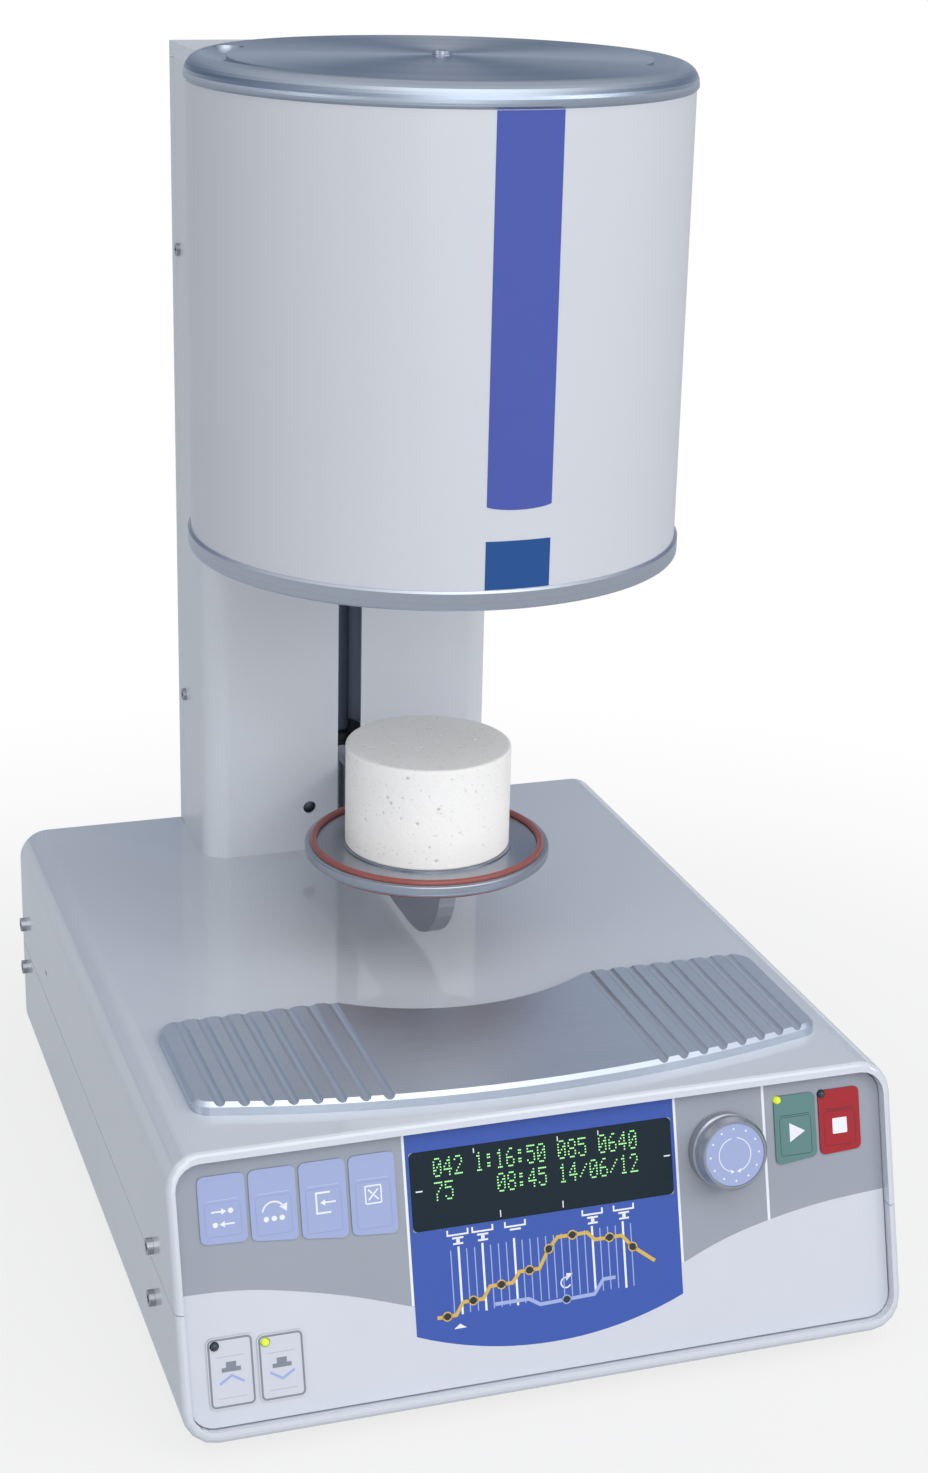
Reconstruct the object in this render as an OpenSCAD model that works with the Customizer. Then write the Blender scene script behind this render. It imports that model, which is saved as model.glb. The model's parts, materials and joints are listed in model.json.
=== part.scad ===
/* [Base cabinet] */
// Width of the cabinet
base_w = 290; // [284:1:320]
// Depth of the cabinet at its foot
base_d = 353; // [340:1:380]
// Height of the sheet body, without the feet
base_h = 104.5; // [100:0.5:120]
// Radius of the long rounded edges
edge_r = 13; // [8:0.5:16]
// Thickness of the cabinet sheet
sheet = 1.5; // [1:0.1:2]
// Height of the lower tray, up to the seam
tray_h = 48.3; // [40:0.1:56]
// Gap of the seam between cover and tray
seam_gap = 0.4; // [0.2:0.1:0.8]
// Height of the rubber feet
foot_h = 8; // [6:0.5:12]
// Diameter of the rubber feet
foot_d = 22; // [16:1:28]
// Distance of the feet from the cabinet's sides
foot_inset = 34; // [28:1:50]
// Depth of the rear panel behind the rear edge
rear_inset = 12; // [10:0.5:13]

/* [Sloping front] */
// Lean of the front, from the vertical
front_slope = 16; // [8:1:20]
// Depth of the panel behind the rim
panel_recess = 5; // [3:0.5:8]
// Width of the rim round the panel
rim_w = 3.4; // [3:0.1:5]
// Radius of the rim's rolled edge
rim_r = 3; // [2:0.1:3.2]
// Width of the rim below the panel
rim_low = 5.4; // [4:0.1:8]
// Width of the rim above the panel
rim_top = 5; // [4:0.1:6]
// Thickness of the panel plate
panel_t = 2; // [1.5:0.1:3]
// Thickness of the front foil
foil_t = 0.5; // [0.3:0.1:0.8]
// Clearance round the panel, its keys and its window
panel_gap = 0.3; // [0.2:0.05:0.5]

/* [Keys] */
// Width of a key
key_w = 17; // [14:0.1:17.4]
// Spacing of the keys in a row
key_pitch = 19; // [18.2:0.1:20]
// Height of a key above the foil
key_proud = 0.5; // [0.3:0.1:1]
// Travel of a key
key_travel = 0.4; // [0.2:0.1:0.6]
// Corner radius of a key
key_r = 2; // [1:0.1:3]
// Diameter of the status lamps
led_d = 3; // [2.5:0.1:3.4]

/* [Display and knob] */
// Width of the display window
window_w = 105.2; // [90:0.2:107]
// Height of the display window
window_h = 30.2; // [26:0.2:32]
// Height of the window's centre up the slope
window_v = 82; // [80:0.5:84]
// Diameter of the knob
knob_d = 29; // [24:0.5:31]
// Height of the knob above the foil
knob_h = 12.5; // [11:0.5:16]
// Diameter of the encoder shaft
encoder_shaft_d = 6; // [5:0.5:6]

/* [Column] */
// Width of the column
col_w = 135; // [125:1:150]
// Depth of the column
col_d = 56.3; // [54:0.5:62]
// Height of the column above the cabinet
col_h = 361.5; // [350:1:370]
// Radius of the column's front corners
col_r = 11; // [6:0.5:14]
// Height of the column's top cap
col_cap_h = 6.5; // [5:0.5:10]
// Depth of the rear cover's side flanges
col_flange = 8.4; // [6:0.2:10]
// Width of the lift slot
slot_w = 11; // [9.6:0.2:13]
// Height of the lift slot
slot_h = 188; // [186:1:200]
// Diameter of the small hole in the column's face
hole_d = 6; // [4:0.5:8]

/* [Furnace head] */
// Diameter of the jacket
head_d = 193.8; // [188:0.2:197]
// Height of the head's underside above the cabinet
head_gap = 180.2; // [178:0.2:190]
// Height of the whole head
head_h = 190.8; // [186:0.2:196]
// Height of the lower flange's visible edge
ring_h = 7.7; // [6:0.1:10]
// Height of the top cap
cap_h = 10; // [9:0.2:12]
// Depth of the two scoops in the cap
scoop_depth = 4.4; // [3:0.2:5]
// Width of a scoop
scoop_w = 11; // [9:0.5:11]
// Thread of the screw in the cap's middle
cap_screw_d = 4; // [3:0.5:5]
// Place of the head's axis along the depth
head_y = 1; // [0:0.5:3]
// Diameter of the chamber's mouth
mouth_d = 80; // [78:0.5:82]
// Height of the heated chamber
chamber_h = 105; // [95:1:110]
// Number of turns of the heating coil
coil_turns = 8; // [5:1:9]
// Diameter of the heating wire
wire_d = 1.8; // [1.4:0.1:2.2]

/* [Lift] */
// Height of the platform's top above the cabinet
platform_z = 50.3; // [48:0.1:60]
// Diameter of the platform
platform_d = 102.8; // [101:0.2:108]
// Thickness of the platform
platform_t = 5; // [4:0.1:6]
// Diameter of the seal ring, on its centre line
seal_d = 95.4; // [90:0.1:96]
// Thickness of the seal ring
seal_t = 3; // [2.5:0.1:4]
// Height of the seal above the platform
seal_proud = 1.6; // [1:0.1:1.8]
// Diameter of the firing pedestal
pedestal_d = 68.9; // [50:0.1:74]
// Height of the firing pedestal
pedestal_h = 43.4; // [25:0.1:50]
// Thickness of the lift arm
arm_t = 7; // [5:0.2:8.6]
// Diameter of the lead screw
screw_d = 12; // [10:0.5:14]
// Diameter of the guide rods
rod_d = 10; // [8:0.5:12]

/* [Cooling tray] */
// Width of the cooling tray
plate_w = 255; // [240:1:262]
// Thickness of the cooling tray
plate_t = 5; // [4:0.1:7]
// Number of flutes at each end
flutes = 8; // [5:1:8]
// Spacing of the flutes
flute_pitch = 8.9; // [7:0.1:9]
// Radius of a flute's cutter
flute_r = 2.4; // [2:0.1:3]
// Depth of a flute
flute_depth = 1.4; // [1:0.1:2]

/* [Hidden] */
$fn = 64;
eps = 0.01;
// Fits: a running fit, a fixed fit and an easy clearance, each per side
run_gap = 0.05;
fix_gap = 0.02;
seat_gap = 0.1;
ease = 0.3;

// Levels of the cabinet
base_top = foot_h + base_h;
seam_z = foot_h + tray_h;
half_w = base_w / 2;
rear_y = base_d / 2;
inner_w = base_w - 2 * sheet;
// The front plane meets the floor of the cabinet here; the rolled edge is cut back from it
front_y = -base_d / 2 - rim_r * ((1 + sin(front_slope)) / cos(front_slope) - 1);
// Length of the front up the slope, and the panel's own outline
slope_len = base_h / cos(front_slope);
panel_lo = rim_low + panel_gap;
panel_hi = slope_len + panel_recess * tan(front_slope) - rim_top - panel_gap;
panel_w = base_w - 2 * rim_w - 2 * panel_gap;

// Key rows, as heights up the slope
keys_top = 98.9;
key_x0 = 12.4 - half_w;
run_x0 = half_w - 48.7;
lift_top = 39;
lift_bottom = 12.9;

// Column and lift
col_front = rear_y - col_d;
rail_y = col_front + 24;
rail_back = 13;
rail_x = 30;
rail_lo = base_top - 20.5;
rail_hi = base_top + 210;
block_h = 16;

// Furnace head
head_lo = base_top + head_gap;
head_hi = head_lo + head_h;
jacket_lo = head_lo + ring_h;
jacket_hi = head_hi - cap_h;
jacket_t = 1.2;
// Inner radius of the cap's two scoops at their deep end
scoop_r = head_d / 2 - 18.4;
flange_t = 4;
can_r = head_d / 2 - 10.9;
can_t = 2;
muffle_t = 6;
muffle_r = mouth_d / 2 + 3.2;
chamber_lo = head_lo + flange_t;
chamber_hi = chamber_lo + chamber_h;
lid_h = 44;
can_hi = chamber_hi + lid_h + can_t;

// Lift parts, at rest
seat_z = base_top + platform_z;
plate_lo = seat_z - platform_t;
gasket_t = 1;
arm_hi = plate_lo - gasket_t;
arm_lo = base_top + 7.5;
arm_back = rail_y - 16;
carriage_lo = base_top + 11.5;
carriage_h = 36;

function arc_points(c, r, a0, a1, n) =
    [for (i = [0:n]) c + r * [cos(a0 + (a1 - a0) * i / n), sin(a0 + (a1 - a0) * i / n)]];

// Unit vector from p to q
function unit(p, q) = (q - p) / norm(q - p);

// The points of a convex outline, anticlockwise, with every corner rounded to r by n steps
function rounded(pts, r, n = 5) = [for (i = [0:len(pts) - 1])
    let (p = pts[i],
         u = unit(p, pts[(i + len(pts) - 1) % len(pts)]),
         w = unit(p, pts[(i + 1) % len(pts)]),
         half = acos(u * w) / 2,
         c = p + unit([0, 0], u + w) * r / sin(half),
         a0 = atan2((p + u * r / tan(half) - c)[1], (p + u * r / tan(half) - c)[0]),
         turn = 180 - 2 * half)
    for (k = [0:n]) c + r * [cos(a0 + turn * k / n), sin(a0 + turn * k / n)]];

function box_points(x0, y0, x1, y1) = [[x0, y0], [x1, y0], [x1, y1], [x0, y1]];

module rounded_box(x0, y0, x1, y1, r) {
    polygon(rounded(box_points(x0, y0, x1, y1), r));
}

// A rectangle with true round corners, centred
module soft_rect(w, h, r) {
    square([w - 2 * r, h], center = true);
    square([w, h - 2 * r], center = true);
    for (sx = [-1, 1], sy = [-1, 1])
        translate([sx * (w / 2 - r), sy * (h / 2 - r)])
            circle(r);
}

module tube(r_out, r_in, h) {
    difference() {
        cylinder(r = r_out, h = h);
        translate([0, 0, -1])
            cylinder(r = r_in, h = h + 2);
    }
}

// Pan-head screw along +Z, head upwards, its seat at z = 0
module pan_screw(d, length, head_d, head_h) {
    difference() {
        union() {
            translate([0, 0, -length])
                cylinder(d = d, h = length + eps, $fn = 24);
            cylinder(d = head_d, h = head_h, $fn = 32);
        }
        for (a = [0, 90])
            rotate(a)
                translate([-head_d * 0.32, -head_d * 0.07, head_h * 0.45])
                    cube([head_d * 0.64, head_d * 0.14, head_h]);
    }
}

// Places things on the panel: X across, Y up the slope, Z out of the face
module on_panel() {
    translate([0, front_y + panel_recess * cos(front_slope),
               foot_h - panel_recess * sin(front_slope)])
        rotate([90 - front_slope, 0, 0])
            children();
}

module on_axis(z = 0) {
    translate([0, head_y, z])
        children();
}

// Outer form of the cabinet, drawn in by off: a rounded box whose front leans back,
// with a rolling ball along the front edge
module cabinet_form(off = 0, back = 0) {
    ball = rim_r - off;
    hull() {
        for (sx = [-1, 1], up = [0, 1]) {
            zc = up == 1 ? base_top - edge_r : foot_h + edge_r;
            translate([sx * (half_w - edge_r), rear_y + back, zc])
                rotate([90, 0, 0])
                    cylinder(r = edge_r - off, h = 1, $fn = 48);
            for (a = [0:22.5:90]) {
                x = half_w - edge_r + (edge_r - rim_r) * cos(a);
                z = zc + (up == 1 ? 1 : -1) * (edge_r - rim_r) * sin(a);
                y = front_y + (rim_r + sin(front_slope) * (z - foot_h)) / cos(front_slope);
                translate([sx * x, y, z])
                    sphere(ball, $fn = 16);
            }
        }
    }
}

// The hollow of the cabinet, behind the flange that the panel is seated on
module cabinet_hollow() {
    difference() {
        cabinet_form(sheet, 5);
        on_panel()
            translate([-base_w, -base_h, -panel_t - sheet])
                cube([2 * base_w, 4 * base_h, 60]);
    }
}

// The recess that the panel stands in, and the smaller opening through its seat
module front_opening() {
    seat = 2;
    on_panel() {
        translate([0, 0, -panel_t])
            linear_extrude(panel_t + panel_recess + 12)
                rounded_box(-half_w + rim_w, rim_low, half_w - rim_w, panel_hi + panel_gap, edge_r - rim_w);
        translate([0, 0, -panel_t - sheet - 1])
            linear_extrude(sheet + 2)
                rounded_box(-half_w + rim_w + seat, rim_low + seat, half_w - rim_w - seat,
                            panel_hi + panel_gap - seat, edge_r - rim_w - seat);
    }
}

// The side screws' places: y and z on each side
side_screws_yz = [[53.5 - rear_y, seam_z + 6.5], [51.9 - rear_y, seam_z - 14.9],
    [rear_y - 7.5, seam_z + 12], [rear_y - 7.5, seam_z - 10]];

module side_holes(d) {
    for (sx = [-1, 1], p = side_screws_yz)
        translate([sx * half_w, p[0], p[1]])
            rotate([0, 90, 0])
                cylinder(d = d, h = 20, center = true, $fn = 20);
}

module base_cover() {
    color("gainsboro")
        difference() {
            cabinet_form();
            cabinet_hollow();
            front_opening();
            translate([-base_w, -base_d, 0])
                cube([2 * base_w, 2 * base_d, seam_z + seam_gap]);
            translate([-52, col_front + 6, base_top - 10])
                cube([104, col_d - 12, 20]);
            side_holes(3.6);
            translate([-half_w, 111, seam_z + 13])
                cube([10, 5, 1.6], center = true);
        }
}

module base_tray() {
    color("gainsboro") {
        difference() {
            cabinet_form();
            cabinet_hollow();
            front_opening();
            translate([-base_w, -base_d, seam_z])
                cube([2 * base_w, 2 * base_d, base_h]);
            side_holes(3.6);
            for (sx = [-1, 1], sy = [-1, 1])
                translate([sx * (half_w - foot_inset), sy * (rear_y - foot_inset - 6), 0])
                    cylinder(d = 4.4, h = 20);
            for (sx = [-1, 1], k = [0:7])
                translate([sx * 62 - 22, -60 + k * 9, foot_h - 1])
                    cube([44, 3.5, 4]);
        }
        // Upstands on the tray's walls, which guide the cover's edge and hold its screws
        difference() {
            for (sx = [-1, 1], u = [[71.5 - rear_y, base_d - 103, 8, 7], [45.5 - rear_y, 15, 22, 16],
                [rear_y - 11.2, 9, 20, 22]])
                tray_lug(sx, u[0], u[1], u[2], u[3]);
            side_holes(3 + 2 * run_gap);
        }
    }
}

// A strip on the tray's inner wall: welded below the seam, clear of the cover above it
module tray_lug(sx, y, len, below, above) {
    t = 1.6;
    inner = inner_w / 2;
    translate([sx > 0 ? inner - t : -inner - 0.4, y, seam_z - below])
        cube([t + 0.4, len, below - 1]);
    translate([sx > 0 ? inner - t : -inner + 0.1, y, seam_z - 1 - eps])
        cube([t - 0.1, len, above + 1]);
}

// Every screw that holds the cabinet: in its sides, its rear panel and its feet
module case_screws() {
    color("silver") {
        for (sx = [-1, 1], p = side_screws_yz)
            translate([sx * half_w, p[0], p[1]])
                rotate([0, sx * 90, 0])
                    pan_screw(3, 6, 6.4, 2.2);
        for (x = [-rear_screw_x, rear_screw_x], z = rear_screw_z)
            translate([x, rear_face, z])
                rotate([-90, 0, 0])
                    pan_screw(3, 6, 6, 2);
        foot_places()
            translate([0, 0, foot_h - 3.2])
                mirror([0, 0, 1])
                    pan_screw(4, 9, 8, 2.4);
    }
}

module foot_places() {
    for (sx = [-1, 1], sy = [-1, 1])
        translate([sx * (half_w - foot_inset), sy * (rear_y - foot_inset - 6), 0])
            children();
}

module rubber_feet() {
    color("dimgray")
        foot_places()
            difference() {
                union() {
                    cylinder(d1 = foot_d - 3, d2 = foot_d, h = foot_h - 2 + eps);
                    translate([0, 0, foot_h - 2])
                        cylinder(d = foot_d, h = 2);
                }
                translate([0, 0, -1])
                    cylinder(d = 9, h = foot_h - 3.2 + 1);
                translate([0, 0, -1])
                    cylinder(d = 4.2, h = foot_h + 2);
            }
}

// Places of the rear fittings: x and z
inlet_x = -108;
fuse_x = -73;
switch_x = -57;
outlet_x = 84;
nipple_x = 124;
fit_z = foot_h + 46;
rear_face = rear_y - rear_inset;
rear_screw_x = half_w - 13;
rear_screw_z = [foot_h + 18, foot_h + 86];
nipple_bore = 5;

module rear_panel() {
    color("lightgray") {
        difference() {
            translate([0, rear_face, foot_h + base_h / 2])
                rotate([90, 0, 0])
                    linear_extrude(sheet)
                        soft_rect(inner_w - 2 * ease, base_h - 2 * sheet - 2 * ease, edge_r - sheet);
            translate([inlet_x, rear_y, fit_z])
                cube([27.6, 60, 20.6], center = true);
            translate([switch_x, rear_y, fit_z])
                cube([13.6, 60, 19.6], center = true);
            translate([outlet_x, rear_y, fit_z])
                cube([27.6, 60, 20.6], center = true);
            for (k = [0, 1])
                translate([fuse_x, rear_y, fit_z - 9 + 18 * k])
                    rotate([90, 0, 0])
                        cylinder(d = 12.4, h = 60, center = true);
            translate([nipple_x, rear_y, fit_z])
                rotate([90, 0, 0])
                    cylinder(d = 8.4, h = 60, center = true);
            for (x = [-rear_screw_x, rear_screw_x], z = rear_screw_z)
                translate([x, rear_y, z])
                    rotate([90, 0, 0])
                        cylinder(d = 3.4, h = 60, center = true);
            for (k = [0:7])
                translate([-34, rear_y - 40, foot_h + 26 + 8 * k])
                    cube([68, 60, 3.2]);
        }
        // Two foot flanges on the tray's floor, either side of the upright
        for (sx = [-1, 1]) {
            translate([sx * 86 - 34, rear_face - sheet - 12, floor_z])
                cube([68, 12.5, sheet]);
            translate([sx * 86 - 34, rear_face - sheet, floor_z])
                cube([68, sheet, 6]);
        }
    }
}

// A key's outline between its left edge, its foot at both sides and its head
function key_outline(x0, feet, head, grow = 0) =
    rounded([[x0 - grow, feet[0] - grow], [x0 + key_w + grow, feet[1] - grow],
             [x0 + key_w + grow, head + grow], [x0 - grow, head + grow]], key_r + grow, 4);

// Left edges and sloping feet of the four setting keys, and the lamps' places in a key's corner
key_left = [for (i = [0:3]) key_x0 + i * key_pitch];
key_foot = [[74.5, 73.7], [73.3, 71.6], [71.4, 69.5], [69.8, 68.4]];
run_left = [run_x0, run_x0 + key_pitch];
run_foot = [[72.2, 74], [73.8, 74.6]];
lift_left = [key_x0 - 1, key_x0 - 1 + key_pitch];
lift_foot = [lift_bottom, lift_bottom];
lift_head = [lift_top, lift_top - 1.4];
upper_lamp = [1.3, -1.2];
lower_lamp = [2.8, -2.7];

// Lamp places: run and lift-down are lit, stop and lift-up are dark
run_lamp = [run_left[0], keys_top] + upper_lamp;
stop_lamp = [run_left[1], keys_top] + upper_lamp;
up_lamp = [lift_left[0], lift_head[0]] + lower_lamp;
down_lamp = [lift_left[1], lift_head[1]] + lower_lamp;
lamp_places = [run_lamp, stop_lamp, up_lamp, down_lamp];
knob_at = [73.8, 81.8];

// All key openings at once, in plate and foil
module key_openings() {
    for (i = [0:3])
        polygon(key_outline(key_left[i], key_foot[i], keys_top, panel_gap));
    for (i = [0:1]) {
        polygon(key_outline(run_left[i], run_foot[i], keys_top, panel_gap));
        polygon(key_outline(lift_left[i], lift_foot, lift_head[i], panel_gap));
    }
}

module one_key(x0, feet, head) {
    on_panel()
        translate([0, 0, -panel_t])
            linear_extrude(panel_t + foil_t + key_proud)
                difference() {
                    polygon(key_outline(x0, feet, head));
                    for (p = lamp_places)
                        translate(p)
                            circle(d = led_d + 2 * ease, $fn = 32);
                }
}

module program_key() {
    color("lightsteelblue")
        one_key(key_left[0], key_foot[0], keys_top);
}

module skip_key() {
    color("lightsteelblue")
        one_key(key_left[1], key_foot[1], keys_top);
}

module enter_key() {
    color("lightsteelblue")
        one_key(key_left[2], key_foot[2], keys_top);
}

module escape_key() {
    color("lightsteelblue")
        one_key(key_left[3], key_foot[3], keys_top);
}

module run_key() {
    color("seagreen")
        one_key(run_left[0], run_foot[0], keys_top);
}

module stop_key() {
    color("firebrick")
        one_key(run_left[1], run_foot[1], keys_top);
}

module lift_up_key() {
    color("whitesmoke")
        one_key(lift_left[0], lift_foot, lift_head[0]);
}

module lift_down_key() {
    color("whitesmoke")
        one_key(lift_left[1], lift_foot, lift_head[1]);
}

module lamp(at) {
    stem = foil_t + key_proud;
    on_panel()
        translate([at[0], at[1], 0]) {
            translate([0, 0, board_z])
                cylinder(d = led_d, h = stem - board_z, $fn = 32);
            translate([0, 0, board_z])
                cylinder(d = led_d + 0.8, h = 1, $fn = 32);
            translate([0, 0, stem])
                rotate_extrude($fn = 32)
                    intersection() {
                        circle(d = led_d - eps, $fn = 32);
                        translate([0, -eps])
                            square([led_d, led_d]);
                    }
        }
}

module lit_lamps() {
    color("greenyellow") {
        lamp(run_lamp);
        lamp(down_lamp);
    }
}

module dark_lamps() {
    color("darkslategray") {
        lamp(stop_lamp);
        lamp(up_lamp);
    }
}

// What every layer of the front is pierced by
module front_piercings() {
    key_openings();
    for (p = lamp_places)
        translate(p)
            circle(d = led_d + 2 * ease, $fn = 32);
    translate(knob_at)
        circle(d = encoder_shaft_d + 1.2);
}

module front_panel() {
    color("silver")
        on_panel()
            translate([0, 0, -panel_t])
                linear_extrude(panel_t)
                    difference() {
                        rounded_box(-panel_w / 2, panel_lo, panel_w / 2, panel_hi, edge_r - rim_w - panel_gap);
                        front_piercings();
                        rounded_box(-window_w / 2, window_v - window_h / 2,
                                    window_w / 2, window_v + window_h / 2, 2);
                    }
}

module front_foil() {
    color("lightgray")
        on_panel()
            linear_extrude(foil_t)
                difference() {
                    rounded_box(-panel_w / 2, panel_lo, panel_w / 2, panel_hi, edge_r - rim_w - panel_gap);
                    front_piercings();
                    rounded_box(-window_w / 2, window_v - window_h / 2,
                                window_w / 2, window_v + window_h / 2, 2);
                }
}

module display_window() {
    color("midnightblue")
        on_panel()
            translate([0, 0, -panel_t])
                linear_extrude(panel_t + foil_t)
                    rounded_box(-window_w / 2 + 0.1, window_v - window_h / 2 + 0.1,
                                window_w / 2 - 0.1, window_v + window_h / 2 - 0.1, 1.9);
}

module display_module() {
    color("darkslategray")
        on_panel() {
            translate([-window_w / 2, window_v - window_h / 2 + 1, -panel_t - 8.5])
                cube([window_w, window_h - 2, 8.5]);
            translate([-window_w / 2 - 5, window_v - 18.5, -panel_t - 10.1])
                cube([window_w + 10, 37, 1.6]);
            for (sx = [-1, 1])
                translate([sx * (window_w / 2 + 3) - 0.8, window_v - 1, -panel_t - 8.6])
                    cube([1.6, 2, 8.6]);
        }
}

// Push switches behind the keys, on their boards
board_z = -panel_t - 6;
key_centres = [for (i = [0:3]) [key_left[i] + key_w / 2, keys_top - 13]];
lift_centres = [for (i = [0:1]) [lift_left[i] + key_w / 2, lift_bottom + 12]];
run_centres = [for (i = [0:1]) [run_left[i] + key_w / 2, keys_top - 14]];

module switches(places) {
    for (p = places)
        translate([p[0], p[1], board_z]) {
            translate([-3, -3, 0])
                cube([6, 6, 3.6]);
            cylinder(d = 3.4, h = -panel_t - board_z - key_travel, $fn = 24);
        }
}

module keypad_boards() {
    color("darkgreen")
        on_panel() {
            translate([key_x0 - 4, 12, board_z - 1.6])
                cube([3 * key_pitch + key_w + 4, 88, 1.6]);
            translate([run_x0 - 4.4, 62, board_z - 1.6])
                cube([44, 40, 1.6]);
            switches(concat(key_centres, lift_centres, run_centres));
            for (p = [[key_x0 - 1, 46], [key_x0 - 1, 64], [-62, 18], [-62, 62], [run_x0 - 2.4, 65],
                      [run_x0 - 2.4, 99.5], [run_x0 + 36, 65]])
                translate([p[0], p[1], board_z - 1])
                    cylinder(d = 4, h = 7, $fn = 24);
        }
}

module encoder_body() {
    color("dimgray")
        on_panel()
            translate([knob_at[0], knob_at[1], 0])
                difference() {
                    union() {
                        translate([-6.5, -6.5, -panel_t - 6.6])
                            cube([13, 13, 6.6]);
                        translate([0, 0, -panel_t - eps])
                            cylinder(d = encoder_shaft_d + 1, h = panel_t + foil_t + 3);
                    }
                    translate([0, 0, -panel_t - 6])
                        cylinder(d = encoder_shaft_d - 1 + 2 * run_gap, h = 30);
                }
}

module encoder_nut() {
    color("silver")
        on_panel()
            translate([knob_at[0], knob_at[1], foil_t])
                difference() {
                    cylinder(d = 11, h = 2, $fn = 6);
                    translate([0, 0, -1])
                        cylinder(d = encoder_shaft_d + 1 + 2 * fix_gap, h = 4);
                }
}

module encoder_shaft() {
    color("silver")
        on_panel()
            translate([knob_at[0], knob_at[1], -panel_t - 5.6])
                cylinder(d = encoder_shaft_d - 1, h = panel_t + 5.6 + knob_h - 3);
}

module encoder_knob() {
    r = knob_d / 2;
    color("silver")
        on_panel()
            translate([knob_at[0], knob_at[1], 0])
                difference() {
                    rotate_extrude($fn = 96)
                        polygon([[0, foil_t + 0.5], [r - 0.6, foil_t + 0.5], [r, foil_t + 1.1],
                                 [r, knob_h - 7], [r - 0.7, knob_h - 6.4], [r - 0.7, knob_h - 5.6],
                                 [r - 0.2, knob_h - 5.2], [r - 0.2, knob_h - 2], [r - 1.4, knob_h],
                                 [r - 2.3, knob_h], [r - 2.3, knob_h - 0.8], [0, knob_h - 0.8]]);
                    translate([0, 0, -1])
                        cylinder(r = 7.4, h = 1 + foil_t + 4);
                    translate([0, 0, -1])
                        cylinder(d = encoder_shaft_d - 1 + 2 * fix_gap, h = knob_h - 2 + 0.1);
                }
}

module knob_insert() {
    color("lightsteelblue")
        on_panel()
            translate([knob_at[0], knob_at[1], knob_h - 0.8])
                cylinder(r = knob_d / 2 - 2.3 - 0.1, h = 0.6);
}

floor_z = foot_h + sheet + seat_gap;

module transformer() {
    translate([-72, 40, floor_z]) {
        color("darkorange")
            translate([0, 0, 2])
                rotate_extrude()
                    polygon([[18, 4], [22, 0], [40, 0], [44, 4], [44, 38], [40, 42], [22, 42], [18, 38]]);
        color("silver") {
            cylinder(r = 46, h = 2);
            translate([0, 0, 44])
                cylinder(r = 34, h = 2);
            cylinder(r = 5, h = 50);
        }
    }
}

module power_board() {
    color("darkgreen")
        translate([28, 5, floor_z + 8])
            cube([96, 120, 1.6]);
    color("silver") {
        for (x = [34, 118], y = [11, rail_y - 28])
            translate([x, y, floor_z])
                cylinder(d = 6, h = 8);
        for (k = [0:5])
            translate([40 + 7 * k, 84, floor_z + 9.6])
                cube([2, 34, 30]);
        translate([40, 84, floor_z + 9.6])
            cube([37, 34, 5]);
    }
    color("black")
        for (k = [0:1])
            translate([100, 30 + 30 * k, floor_z + 9.6])
                cylinder(d = 22, h = 34);
}

module power_inlet() {
    color("black")
        translate([inlet_x, rear_face, fit_z])
            difference() {
                union() {
                    translate([-25, 0, -12.5])
                        cube([50, 3, 25]);
                    translate([-13.6, -20, -10.1])
                        cube([27.2, 20 + eps, 20.2]);
                }
                translate([-12, -16, -8.1])
                    cube([24, 30, 16.2]);
                for (x = [-20, 20])
                    translate([x, -1, 0])
                        rotate([-90, 0, 0])
                            cylinder(d = 3.4, h = 6, $fn = 24);
                pin_places(1 + fix_gap);
            }
}

// Three blades, with the earth blade above
module pin_places(t = 1) {
    for (p = [[-7, -1.5], [7, -1.5], [0, 3.5]])
        translate([p[0] - t, -22, p[1] - 0.8 - t])
            cube([2 * t, 20, 1.6 + 2 * t]);
}

module inlet_pins() {
    color("silver")
        translate([inlet_x, rear_face, fit_z])
            pin_places();
}

module fuse_caps() {
    color("black")
        for (k = [0, 1])
            translate([fuse_x, rear_face, fit_z - 9 + 18 * k])
                rotate([-90, 0, 0])
                    difference() {
                        union() {
                            translate([0, 0, -24])
                                cylinder(d = 12, h = 25);
                            cylinder(d = 15, h = 2.4);
                            cylinder(d = 11, h = 8);
                        }
                        translate([-4.5, -0.6, 6.4])
                            cube([9, 1.2, 3]);
                    }
}

rocker_y = -2;
rocker_tilt = 8;

module switch_frame() {
    color("black")
        translate([switch_x, rear_face, fit_z])
            difference() {
                union() {
                    translate([-7.5, 0, -10.5])
                        cube([15, 2, 21]);
                    translate([-6.6, -16, -9.6])
                        cube([13.2, 16 + eps, 19.2]);
                }
                translate([-5.4, -9, -8.4])
                    cube([10.8, 20, 16.8]);
                translate([-6, rocker_y, 0])
                    rotate([0, 90, 0])
                        cylinder(d = 2 + 2 * run_gap, h = 12, $fn = 32);
            }
}

// A rocker with two sloping faces, on a pivot pin that turns in the frame's cheeks
module power_rocker() {
    color("black")
        translate([switch_x, rear_face + rocker_y, fit_z])
            rotate([-rocker_tilt, 0, 0]) {
                translate([-5.1, 0, 0])
                    rotate([90, 0, 90])
                        linear_extrude(10.2)
                            polygon([[-4.2, -5], [2.5, -7.2], [5.2, -6], [3.8, 0], [5.2, 6], [2.5, 7.2], [-4.2, 5]]);
                translate([-5.9, 0, 0])
                    rotate([0, 90, 0])
                        cylinder(d = 2, h = 11.8, $fn = 32);
            }
}

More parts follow.
